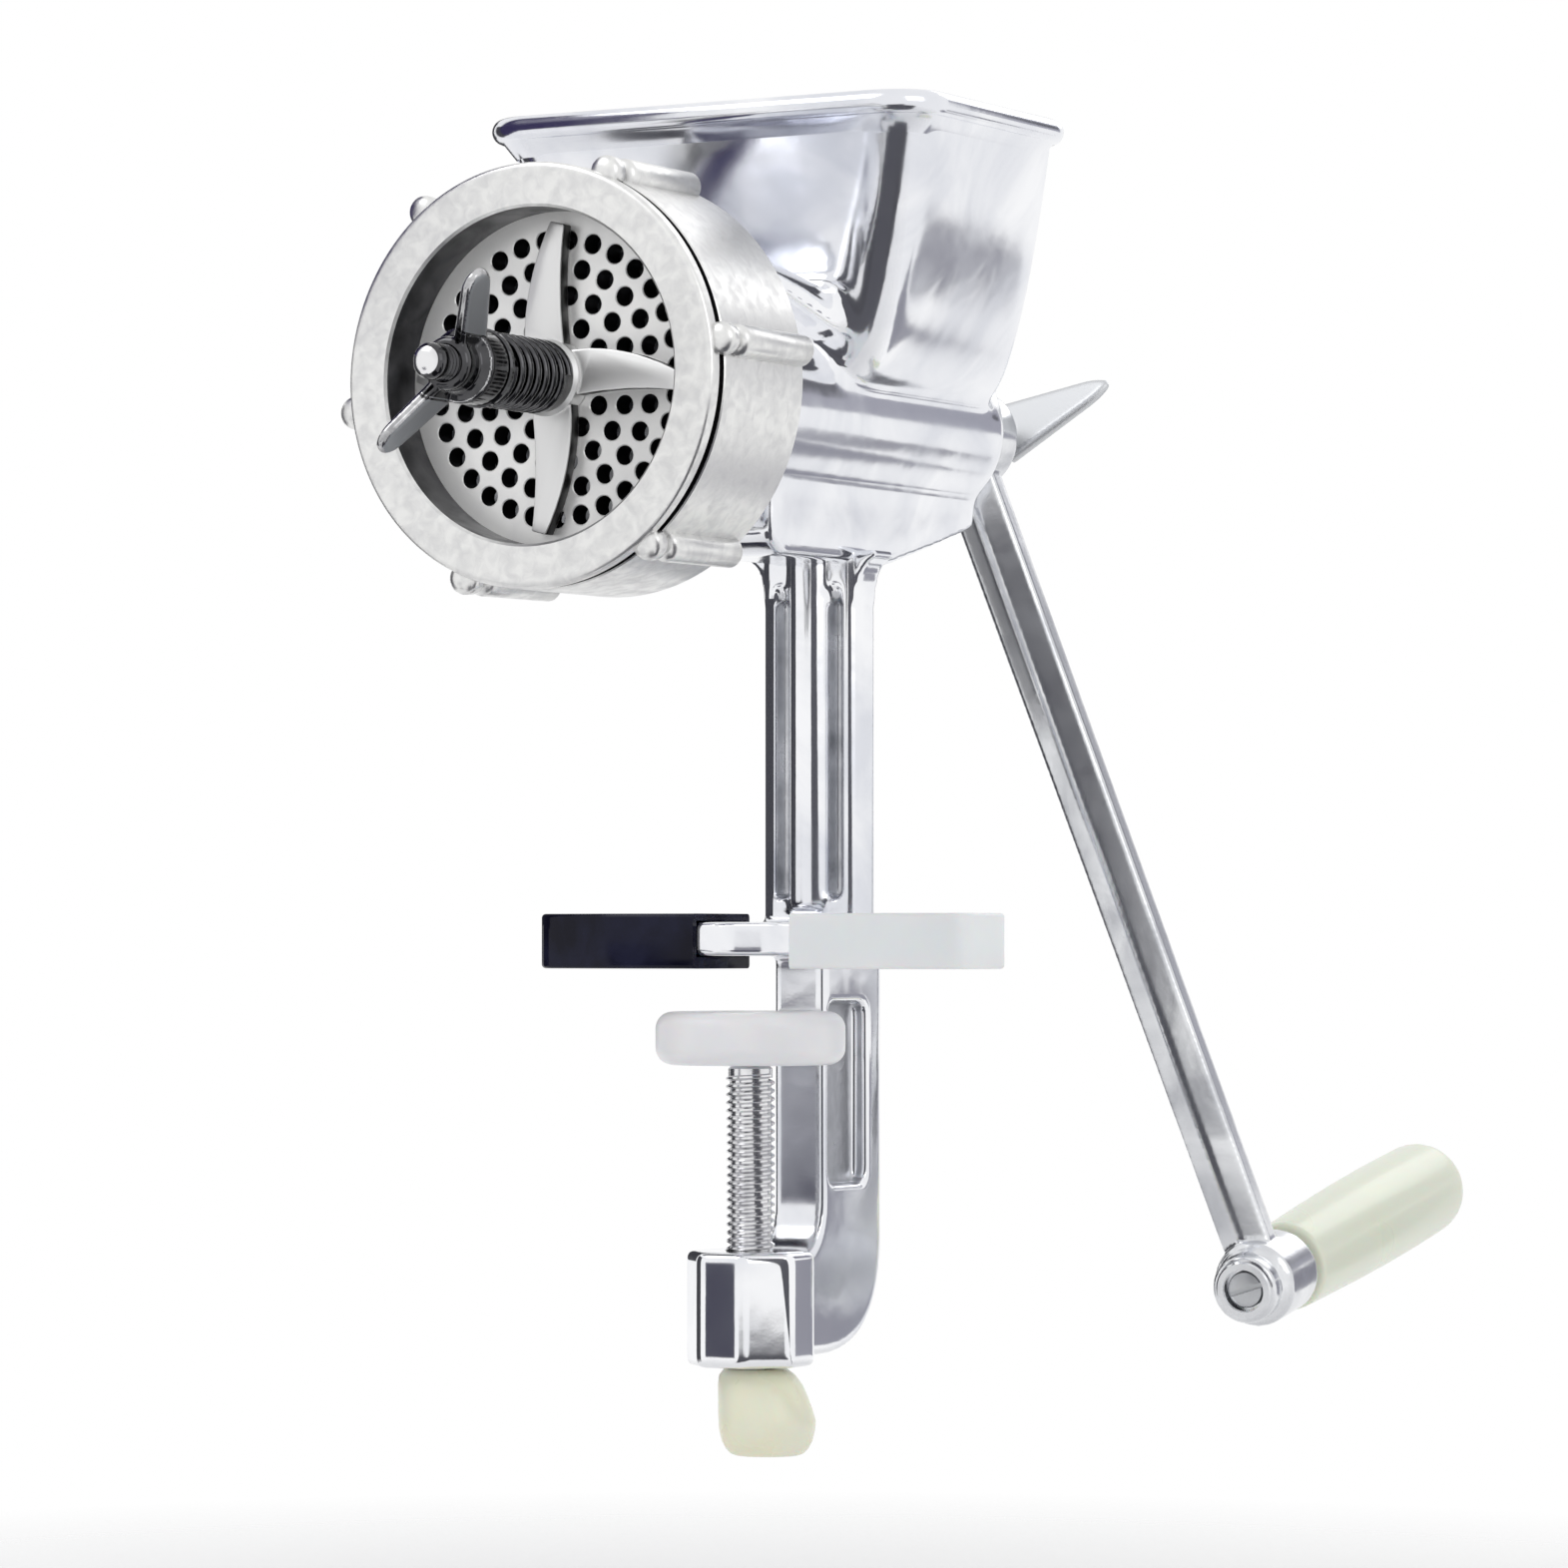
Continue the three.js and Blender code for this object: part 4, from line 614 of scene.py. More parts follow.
@cache
def metal_skin() -> bpy.types.NodeTree:
    """The shared group for a metal surface: tarnish patches, slow ripples and fine grain."""
    tree = group_of("metal_skin", {"Patch": 20, "Ripple": 12, "Grain": 0.6}, ("Patches", "Ripples", "Grains"))
    wiring, given = Wiring(tree), tree.nodes["Group Input"].outputs
    patches, ripples, grains = (
        wiring.noise(given["Vector"], wiring.per_metre(given[label]), detail, twist)
        for label, detail, twist in (("Patch", 4.0, 0.6), ("Ripple", 1.5, 0.3), ("Grain", 3.0, 0.0)))
    wiring.feed(tree.nodes["Group Output"], {
        "Patches": wiring.ranged(patches, 0.36, 0.66), "Ripples": ripples, "Grains": grains})
    return tree


@cache
def turned_lines() -> bpy.types.NodeTree:
    """The shared group for the fine rings that turning leaves round the Y axis of its vector."""
    tree = group_of("turned_lines", {"Line": 0.4}, ("Lines",))
    wiring, given = Wiring(tree), tree.nodes["Group Input"].outputs
    parts = wiring.add("ShaderNodeSeparateXYZ", {0: given["Vector"]})
    flat = wiring.add("ShaderNodeCombineXYZ", {"X": parts.outputs["X"], "Y": parts.outputs["Z"]})
    radius = wiring.add("ShaderNodeVectorMath", {0: flat.outputs[0]}, operation="LENGTH").outputs["Value"]
    row = wiring.add("ShaderNodeCombineXYZ", {"X": radius, "Y": parts.outputs["Y"]}).outputs[0]
    lines = wiring.noise(row, wiring.per_metre(given["Line"]), 2.0)
    wiring.feed(tree.nodes["Group Output"], {"Lines": lines})
    return tree


def new_material(name: str) -> tuple[bpy.types.Material, Wiring, bpy.types.Node]:
    """A new material with its nodes.

    Args:
        name: its name.

    Returns:
        The material, the wiring of its nodes and its main shader.
    """
    made = bpy.data.materials.new(name)
    made.use_nodes = True
    return made, Wiring(made.node_tree), made.node_tree.nodes["Principled BSDF"]


@dataclass(frozen=True)
class MetalFinish:
    """A bare metal: two close tones in patches, ripples from its casting or forging, and a fine grain.

    Sizes are in mm. Lines are turning marks round the barrel's axis, and none show where their depth is 0.
    """

    name: str
    bright: Triple
    dull: Triple
    smooth: float
    rough: float
    patch: float = 20.0
    ripple: float = 12.0
    ripple_depth: float = 0.05
    grain: float = 0.6
    grain_depth: float = 0.004
    line: float = 0.4
    line_depth: float = 0.0
    metallic: float = 1.0
    coat: float = 0.0

    @cache
    def material(self) -> bpy.types.Material:
        """The finish as a material, made once."""
        made, wiring, shader = new_material(self.name)
        spot = wiring.add("ShaderNodeTexCoord").outputs["Object"]
        skin = wiring.add("ShaderNodeGroup", node_tree=metal_skin())
        wiring.feed(skin, {"Vector": spot, "Patch": self.patch, "Ripple": self.ripple, "Grain": self.grain})
        patches = skin.outputs["Patches"]
        normal = wiring.bump(skin.outputs["Ripples"], self.ripple_depth)
        normal = wiring.bump(skin.outputs["Grains"], self.grain_depth, normal)
        if self.line_depth:
            centred = wiring.add("ShaderNodeMapping", {"Vector": spot, "Location": (0, 0, -AXIS_HEIGHT * MM)})
            lines = wiring.add("ShaderNodeGroup", node_tree=turned_lines())
            wiring.feed(lines, {"Vector": centred.outputs[0], "Line": self.line})
            normal = wiring.bump(lines.outputs["Lines"], self.line_depth, normal)
        wiring.feed(shader, {
            "Base Color": wiring.mixed(patches, self.bright, self.dull),
            "Roughness": wiring.ranged(patches, 0, 1, self.smooth, self.rough), "Normal": normal,
            "Metallic": self.metallic, "Coat Weight": self.coat, "Coat Roughness": 0.05})
        return made


@dataclass(frozen=True)
class PlasticFinish:
    """A moulded plastic: a body colour that drifts slowly, and a soft moulded texture. Sizes are in mm."""

    name: str
    body: Triple
    drift: Triple
    smooth: float
    rough: float
    cloud: float = 25.0
    dimple: float = 1.2
    dimple_depth: float = 0.01
    glow: float = 0.0
    glow_reach: float = 4.0
    coat: float = 0.0
    shine: float = 0.5

    @cache
    def material(self) -> bpy.types.Material:
        """The finish as a material, made once."""
        made, wiring, shader = new_material(self.name)
        spot = wiring.add("ShaderNodeTexCoord").outputs["Object"]
        cloud = wiring.ranged(wiring.noise(spot, 1 / (self.cloud * MM), 3.0, 0.4), 0.35, 0.65)
        dimples = wiring.noise(spot, 1 / (self.dimple * MM), 2.0)
        wiring.feed(shader, {
            "Base Color": wiring.mixed(cloud, self.body, self.drift),
            "Roughness": wiring.ranged(cloud, 0, 1, self.smooth, self.rough),
            "Normal": wiring.bump(dimples, self.dimple_depth), "Specular IOR Level": self.shine,
            "Subsurface Weight": self.glow, "Subsurface Scale": self.glow_reach * MM,
            "Coat Weight": self.coat, "Coat Roughness": 0.06})
        return made


@dataclass(frozen=True)
class PackedFinish:
    """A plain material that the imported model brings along."""

    name: str

    def material(self) -> bpy.types.Material:
        """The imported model's material of that name."""
        return bpy.data.materials[self.name]


Finish = MetalFinish | PlasticFinish | PackedFinish

CAST = MetalFinish(
    "cast_aluminium_polished", (0.92, 0.925, 0.945), (0.72, 0.735, 0.785), 0.08, 0.18, 34, 13, 0.12,
    0.8, 0.003)
# The pockets and scoops: a rougher as-cast surface, with a darker tone that is painted shade.
RECESS = MetalFinish(
    "recess_rough_and_painted_shade", (0.62, 0.63, 0.66), (0.42, 0.43, 0.46), 0.26, 0.42, 14, 2.2, 0.10, 0.6, 0.01)
CRANK_CAST = MetalFinish(
    "crank_aluminium", (0.80, 0.81, 0.83), (0.56, 0.57, 0.60), 0.15, 0.26, 18, 9, 0.06, 0.6, 0.004)
RING = MetalFinish(
    "ring_satin_aluminium", (0.82, 0.82, 0.81), (0.70, 0.70, 0.70), 0.28, 0.40, 3.2, 3.0, 0.03, 0.7, 0.02,
    0.5, 0.006)
# Near-black: painted shade inside the ring's opening and groove.
BORE = MetalFinish(
    "ring_bore_painted_shade", (0.09, 0.09, 0.095), (0.05, 0.05, 0.055), 0.28, 0.45, 10, 5, 0.03, 0.7, 0.01)
PLATE = MetalFinish(
    "plate_bright_steel", (0.97, 0.97, 0.96), (0.90, 0.90, 0.90), 0.28, 0.38, 10, 8, 0.01, 0.5, 0.003,
    0.35, 0.004, metallic=0.35)
# Near-black: painted shade on the walls of the plate's holes.
HOLES = MetalFinish("plate_hole_painted_shade", (0.035, 0.035, 0.04), (0.012, 0.012, 0.014), 0.5, 0.7)
BLADE = PackedFinish("blade_steel")
# Near-black: painted shade on the blades' side walls.
BLADE_SIDE = MetalFinish(
    "blade_side_painted_shade", (0.10, 0.10, 0.10), (0.05, 0.05, 0.05), 0.35, 0.5, 5, 4, 0.03)
DARK = PackedFinish("dark_steel")
# Lighter tone on the wings' edges: a painted highlight.
WING_EDGE = MetalFinish(
    "nut_edge_painted_highlight", (0.55, 0.55, 0.56), (0.28, 0.28, 0.29), 0.12, 0.22, 4, 4.5, 0.1)
NECK = MetalFinish(
    "nut_neck_steel", (0.045, 0.045, 0.05), (0.015, 0.015, 0.018), 0.08, 0.16, 5, 4.5, 0.2, coat=1.0)
SPRING = MetalFinish(
    "spring_steel", (0.07, 0.07, 0.075), (0.025, 0.025, 0.03), 0.10, 0.20, 3, 3, 0.02, coat=0.8)
PLAIN = PackedFinish("plain_steel")
THREAD = MetalFinish("screw_steel", (0.82, 0.82, 0.83), (0.66, 0.66, 0.68), 0.14, 0.26, 9, 6, 0.01)
BRONZE = MetalFinish("bearing_bronze", (0.68, 0.47, 0.24), (0.52, 0.34, 0.17), 0.25, 0.40, 6, 5, 0.02)
BLACK = PlasticFinish(
    "pad_gloss_black", (0.004, 0.004, 0.012), (0.012, 0.013, 0.034), 0.10, 0.22, 12, 2, 0.008, shine=0.16)
MILKY = PlasticFinish(
    "pad_milky_white", (0.93, 0.94, 0.96), (0.90, 0.91, 0.935), 0.30, 0.40, 16, 1.5, 0.008, 0.2)
DISC = PlasticFinish(
    "disc_milky_white", (0.88, 0.88, 0.90), (0.84, 0.85, 0.88), 0.28, 0.38, 14, 1.5, 0.008, 0.2)
PALE_GRIP = PlasticFinish(
    "grip_pale_green", (0.80, 0.85, 0.69), (0.80, 0.84, 0.71), 0.26, 0.34, 30, 2.5, 0.006, 0.3, 6.0, 0.2)
KNOB = PlasticFinish(
    "knob_pale_yellow", (0.86, 0.86, 0.66), (0.84, 0.85, 0.70), 0.25, 0.36, 12, 2, 0.01, 0.3)


def place(
    shape: Mesh, name: str, body: str, slot: str, node: str, *finishes: Finish, sharp: float = 32.0,
) -> bpy.types.Object:
    """Finishes a piece: scales its mesh to metres, shades and dresses it, and fastens it to its body.

    Args:
        shape: the mesh in mm, which is used up.
        name: the piece's name.
        body: the body that it moves with.
        slot: the record's material slot; not used.
        node: the CAD node that it takes the place of.
        finishes: its materials, in slot order.
        sharp: the angle past which an edge shows, degrees.

    Returns:
        The new object.
    """
    piece = as_object(moved(shape, Matrix.Scale(MM, 4)), name)
    mesh = piece.data
    mesh.shade_smooth()
    mesh.set_sharp_from_angle(angle=math.radians(sharp))
    for finish in finishes:
        mesh.materials.append(finish.material())
    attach(piece, body)
    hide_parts(node)
    mesh.calc_loop_triangles()
    log.info("%s: %d triangles, moves with %s", name, len(mesh.loop_triangles), body)
    return piece


def dress(node: str, finish: Finish) -> None:
    """Gives a kept CAD node its finish.

    Args:
        node: the node's name.
        finish: what it wears.
    """
    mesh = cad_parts[node].data
    mesh.materials.clear()
    mesh.materials.append(finish.material())
    log.info("%s: kept, finished as %s", node, finish.name)


# ---------------------------------------------------------------- the grinder


@dataclass
class CastBody:
    """The one-piece casting: barrel, hopper, keel, post, jaw, C-arm and screw boss."""

    mouth_radius: float = 42.5
    mouth_front: float = -80.4
    mouth_back: float = -59.0
    tube_radius: float = 21.0
    tube_end: float = 91.0
    plate_bore: float = 35.5
    auger_bore: float = 17.0
    bush_bore: float = 11.8
    bush_seat: float = 76.0
    wall: float = 3.0
    rim_width: float = 116.0
    rim_length: float = 76.0
    rim_height: float = 198.2
    rim_middle: float = 13.0
    throat_width: float = 38.0
    throat_length: float = 74.0
    throat_height: float = 137.0
    throat_middle: float = 49.5
    keel_height: float = 96.6
    post_width: float = 26.0
    jaw_low: float = 3.0
    jaw_high: float = 11.0
    arm_width: float = 13.7
    arm_front: float = 22.8
    arm_back: float = 51.8
    arm_foot: float = -91.4
    boss_radius: float = 15.42
    boss_low: float = -93.0
    boss_high: float = -66.0

    def hopper_ring(self, share: float, grow: float, height: float | None = None) -> list[Vector]:
        """One level section of the hopper.

        Args:
            share: how far up the hopper it is, from 0 at the throat to 1 at the rim.
            grow: how far it stands outside the hopper's outer wall, mm.
            height: its height where that isn't the share's own, mm.

        Returns:
            The section's points.
        """
        width = lerp(self.throat_width, self.rim_width, share**0.6) + 2 * grow
        length = lerp(self.throat_length, self.rim_length, share**0.7) + 2 * grow
        middle = lerp(self.throat_middle, self.rim_middle, share**0.7)
        corner = lerp(8.0, 11.0, share) + grow
        level = lerp(self.throat_height, self.rim_height, share) if height is None else height
        return [Facing.UP.point(point, level) for point in rounded(width, length, corner, (0, middle), 8)]

    def hopper(self, grow: float) -> list[list[Vector]]:
        """The hopper's sections from throat to rim."""
        return [self.hopper_ring((i / 20) ** 1.4, grow) for i in range(21)]

    def barrel(self) -> Mesh:
        """The barrel's outside: mouth, cone and tube."""
        mouth, tube, end = self.mouth_radius, self.tube_radius, self.tube_end
        profile = [(0, self.mouth_front), (mouth, self.mouth_front), (mouth, self.mouth_back), (37.8, -54.3)]
        profile += sweep((37.8, -54.3), (28, -45.5), (tube, -44), 6)
        return turned([*profile, (tube, end - 1.6), (tube - 1.6, end), (0, end)], BARREL)

    def bore(self) -> Mesh:
        """The barrel's hollow, from the mouth to the rear bearing."""
        mouth, tube, bush = self.plate_bore, self.auger_bore, self.bush_bore
        front, seat, end = self.mouth_front - 2, self.bush_seat, self.tube_end + 2
        profile = [(0, front), (mouth, front), (mouth, self.mouth_back), (tube, -46), (tube, seat)]
        return turned([*profile, (bush, seat), (bush, end), (0, end)], BARREL)

    def shoulder(self) -> Mesh:
        """The fairing that carries the barrel's mouth up into the hopper's front wall."""
        ends = ((40.15, -56.65), (17, 14.0))
        points = [Facing.ALONG.point(point, along)
                  for radius, along in ends for point in arc((0, AXIS_HEIGHT), radius, 50, 130, 12)]
        for share in (1 / 6, 2 / 6):
            ring = self.hopper_ring(share, -1.5)
            front = min(point.y for point in ring)
            points += [Vector((side, front, ring[0].z)) for side in (-25.8, 25.8)]
        shape = bmesh.new()
        hull = bmesh.ops.convex_hull(shape, input=[shape.verts.new(point) for point in points])
        spare = [part for part in hull["geom_interior"] if isinstance(part, bmesh.types.BMVert)]
        bmesh.ops.delete(shape, geom=spare, context="VERTS")
        return tidied(shape)

    def keel(self) -> Mesh:
        """The deep rib under the barrel."""
        foot = self.keel_height
        outline = [(-12, 123.5), (-12, foot + 4), (-6, foot), (47, foot), (89.4, 108), (89.4, 123.5)]
        shape = extruded(outline, Facing.ACROSS, -12.5, 12.5)
        for corner in shape.verts:
            corner.co.x *= 1 + (corner.co.z - foot) * 0.0026
        return shape

    def upper(self) -> None:
        """Builds the barrel, hopper and keel as one casting."""
        walls = lofted([*self.hopper(0), self.hopper_ring(1, 0, 214.0)])
        outside = fused([self.barrel(), walls, self.shoulder(), self.keel()], 1.15, 14)
        above = extruded(box(80, -60, 80), Facing.UP, 199.6, 220)
        inside = [self.hopper_ring(0, -self.wall, AXIS_HEIGHT), *self.hopper(-self.wall)]
        inside.append(self.hopper_ring(1, -self.wall, 210.0))
        shape = combined(outside, [self.bore(), lofted(inside), above], Join.CUT)
        place(shape, "casting_barrel_and_hopper", "frame", "cast_aluminium", "body_casting", CAST, sharp=40)

    def rim(self) -> None:
        """Builds the rolled lip round the hopper."""
        rows = [(2.6 * math.cos(a), self.rim_height + 2.8 * math.sin(a))
                for a in (math.radians(angle) for angle in range(-90, 91, 15))]
        rows += [(-1.0, 200.95), (-2.0, 200.6), (-2.8, 199.8), (-3.15, 198.6), (-3.15, 191.5)]
        rings = []
        for grow, height in rows:
            width, length = self.rim_width + 2 * grow, self.rim_length + 2 * grow
            outline = rounded(width, length, 11 + grow, (0, self.rim_middle), 14)
            rings.append([Facing.UP.point(point, height) for point in outline])
        place(lofted(rings, True), "hopper_rim", "frame", "cast_aluminium", "body_casting", CAST, sharp=50)

    def post(self) -> list[Mesh]:
        """The post with a pocket each side of its rounded middle rib, front and back."""
        half = self.post_width / 2
        body = extruded(rounded(self.post_width, 12, 3.4, (0, 33)), Facing.UP, self.jaw_low, 98.5)
        pockets = []
        for side in (-1, 1):
            for floor, mouth in ((30.8, 26.0), (35.2, 40.0)):
                rings = []
                for depth, grow in ((floor, -1.0), (lerp(floor, mouth, 0.2), -0.1), (mouth, 0.9)):
                    outline = rounded(3.2 + 2 * grow, 73.6 + 2 * grow, 1.5 + grow, (side * 7.2, 53.8), 8)
                    rings.append([Facing.ALONG.point(point, depth) for point in outline])
                pockets.append(lofted(rings))
        body = combined(body, pockets, Join.CUT)
        bead = rod(5.8, 14.1, 98.5, Matrix.Translation((0, 29.9, 0)) @ UPRIGHT, 48)
        flare = [(half, 87.6), *sweep((half, 87.6), (half, 96.6), (17.5, 97.6)), (17.5, 99.5)]
        return [body, bead, extruded(mirrored(flare), Facing.ALONG, 28.2, 37.8)]

    def arm(self) -> list[Mesh]:
        """The C-arm, scooped on both sides, that carries the screw boss."""
        front, back, foot, top = self.arm_front, self.arm_back, self.arm_foot, self.jaw_high
        outline = [(front, top), (front, -54.6), *sweep((front, -54.6), (front, -66), (12.44, -69.2))]
        outline += [(0, -70.8), (0, foot), (front, foot)]
        outline += sweep((front, foot), (back, foot), (back, foot + 29), 14)
        outline += [(back, self.jaw_low), (39, top)]
        half = self.arm_width / 2
        body = bevelled(extruded(outline, Facing.ACROSS, -half, half), 0.9)
        scoop = rounded(18, 43.5, 3, (34.8, -29.75))
        spans = ((half - 4, half + 1), (-half - 1, 4 - half))
        return [combined(body, [extruded(scoop, Facing.ACROSS, *span) for span in spans], Join.CUT)]

    def boss(self) -> Mesh:
        """The eight-sided boss for the clamp screw."""
        outline = arc((0, 0), self.boss_radius, 22.5, 337.5, 7)
        return bevelled(extruded(outline, Facing.UP, self.boss_low, self.boss_high), 1.6, 3)

    def recessed(self, middle: Vector, _normal: Vector, _reach: float) -> bool:
        """Whether a face is in one of the post's pockets or the arm's scoops, which get a rougher finish
        whose darker tone is painted shade.

        Args:
            middle: the face's middle, mm.
            _normal: its normal, which makes no difference here.
            _reach: its distance from the barrel's axis, which makes none either.

        Returns:
            True in a pocket or a scoop.
        """
        side, depth, height = middle
        pocket = 5.4 < abs(side) < 9.0 and 28 < depth < 38 and 17.5 < height < 90
        return pocket or (abs(side) < 6.0 and 26.5 < depth < 43.1 and -51 < height < -8.5)

    def stand(self) -> None:
        """Builds the post, jaw, C-arm and boss as one casting."""
        jaw = extruded(jaw_outline(0), Facing.UP, self.jaw_low, self.jaw_high)
        neck = extruded(box(13, 19, 39), Facing.UP, self.jaw_low, self.jaw_high)
        outside = fused([*self.post(), jaw, neck, *self.arm(), self.boss()], 0.7, 4)
        hole = rod(6, self.boss_low - 2, self.boss_high + 2, UPRIGHT, 48)
        slope = extruded([(-9.4, 26), (-9.4, 27.5), (-13.6, 29.4), (-13.6, 26)], Facing.UP, 12.5, 88.5)
        # Pockets and scoops take the second finish, whose darker tone is painted shade.
        shape = painted(combined(outside, [hole, slope], Join.CUT), self.recessed)
        place(shape, "casting_stand", "frame", "cast_aluminium", "body_casting", CAST, RECESS, sharp=40)

    def build(self) -> None:
        """Builds the whole casting."""
        self.upper()
        self.rim()
        self.stand()


def jaw_outline(grow: float) -> list[Point]:
    """The jaw's outline seen from above.

    Args:
        grow: how far it stands outside the metal, mm.

    Returns:
        The closed outline.
    """
    tip, front, rear, radius = 56.5 + grow, -1 - grow, 20 + grow, 5 + grow
    half = [(0.0, front), *sweep((0, front), (19, front - 3), (38, front - 3))]
    half.append((tip - radius, front))
    half += sweep((tip - radius, front), (tip, front), (tip, front + radius), 6)
    half += arc((tip - radius, rear - radius), radius, 0, 90, 6)
    half.append((0.01, rear))
    return mirrored(half[1:])


@dataclass
class JawPads:
    """The two plastic pads that sleeve the jaw's ends."""

    skin: float = 2.0
    height: float = 13.0
    start: float = 13.0

    def build(self) -> None:
        """Builds both pads, the left one black and the right one white."""
        for side, finish, slot in ((-1, BLACK, "pad_black"), (1, MILKY, "pad_white")):
            label = "left" if side < 0 else "right"
            shape = bevelled(extruded(jaw_outline(self.skin), Facing.UP, 0, self.height), 0.9, 3, 40)
            hollow = extruded(jaw_outline(0.3), Facing.UP, 2.7, 11.3)
            far, near = -side * 80, side * self.start
            away = extruded([(far, -30), (near, -30), (near, 50), (far, 50)], Facing.UP, -5, 20)
            shape = combined(shape, [hollow, away], Join.CUT)
            place(shape, f"pad_{label}", "frame", slot, f"jaw_pad_{label}", finish)


@dataclass
class RingNut:
    """The satin ring that holds the plate, with six gripping ribs."""

    opening: float = 37.5
    radius: float = 47.5
    bore: float = 42.8
    front: float = -99.0
    back: float = -59.0
    lip_back: float = -87.0
    groove_front: float = -95.6
    groove_back: float = -93.4
    groove_depth: float = 1.4
    rib_centre: float = 48.1
    rib_radius: float = 3.7
    nub_end: float = -91.8
    rib_start: float = -90.4
    ribs: int = 6
    first_rib: float = 22.5

    def shell(self) -> Mesh:
        """The ring itself, with the groove round its front."""
        front, radius = self.front, self.radius
        profile = [(self.opening, front + 0.6), (self.opening + 0.6, front), (self.opening + 1.0, front)]
        profile += [(radius - 1.7, front), (radius - 1.2, front)]
        profile += sweep((radius - 1.2, front), (radius, front), (radius, front + 1.2), 4)
        near, far, floor = self.groove_front, self.groove_back, radius - self.groove_depth
        profile += [(radius, near - 0.3), (radius - 0.3, near), (floor, near), (floor, far)]
        profile += [(radius - 0.3, far), (radius, far + 0.3), (radius, self.back), (self.bore, self.back)]
        profile += [(self.bore, self.lip_back), (self.opening, self.lip_back)]
        return turned(profile, BARREL, 160, True)

    def bar(self, start: float, end: float, angle: float) -> Mesh:
        """One round-ended bar of a rib.

        Args:
            start: where it starts along the barrel's axis, mm.
            end: where it ends.
            angle: how far round from the top it lies, degrees.

        Returns:
            The closed mesh.
        """
        radius = self.rib_radius
        profile = [(0, start), *sweep((0, start), (radius, start), (radius, start + 2.2), 6)]
        profile += sweep((radius, end - 2.2), (radius, end), (0, end), 6)
        turn = Matrix.Rotation(math.radians(angle), 4, "Y") @ Matrix.Translation((0, 0, self.rib_centre))
        return turned(profile, BARREL @ turn, 28)

    def painted_shade_faces(self, middle: Vector, normal: Vector, reach: float) -> bool:
        """Whether a face is in the ring's opening or in the groove, which are painted near-black as shade.

        Args:
            middle: the face's middle, mm.
            normal: its normal.
            reach: its distance from the barrel's axis, mm.

        Returns:
            True in the opening or the groove.
        """
        opening = reach < self.opening + 0.2 and abs(normal.y) < 0.5
        along = self.groove_front - 0.02 < middle.y < self.groove_back + 0.02
        return opening or (along and self.radius - 1.5 < reach < self.radius - 0.3)

    def build(self) -> None:
        """Builds the ring and its ribs."""
        shapes = [self.shell()]
        for i in range(self.ribs):
            angle = self.first_rib + 360 * i / self.ribs
            shapes.append(self.bar(self.front + 1.2, self.nub_end, angle))
            shapes.append(self.bar(self.rib_start, self.back, angle))
        # The opening and the groove take the near-black finish, painted shade.
        whole = painted(merged(shapes), self.painted_shade_faces)
        place(whole, "ring_nut_satin", "ring", "ring_satin", "ring_nut", RING, BORE)


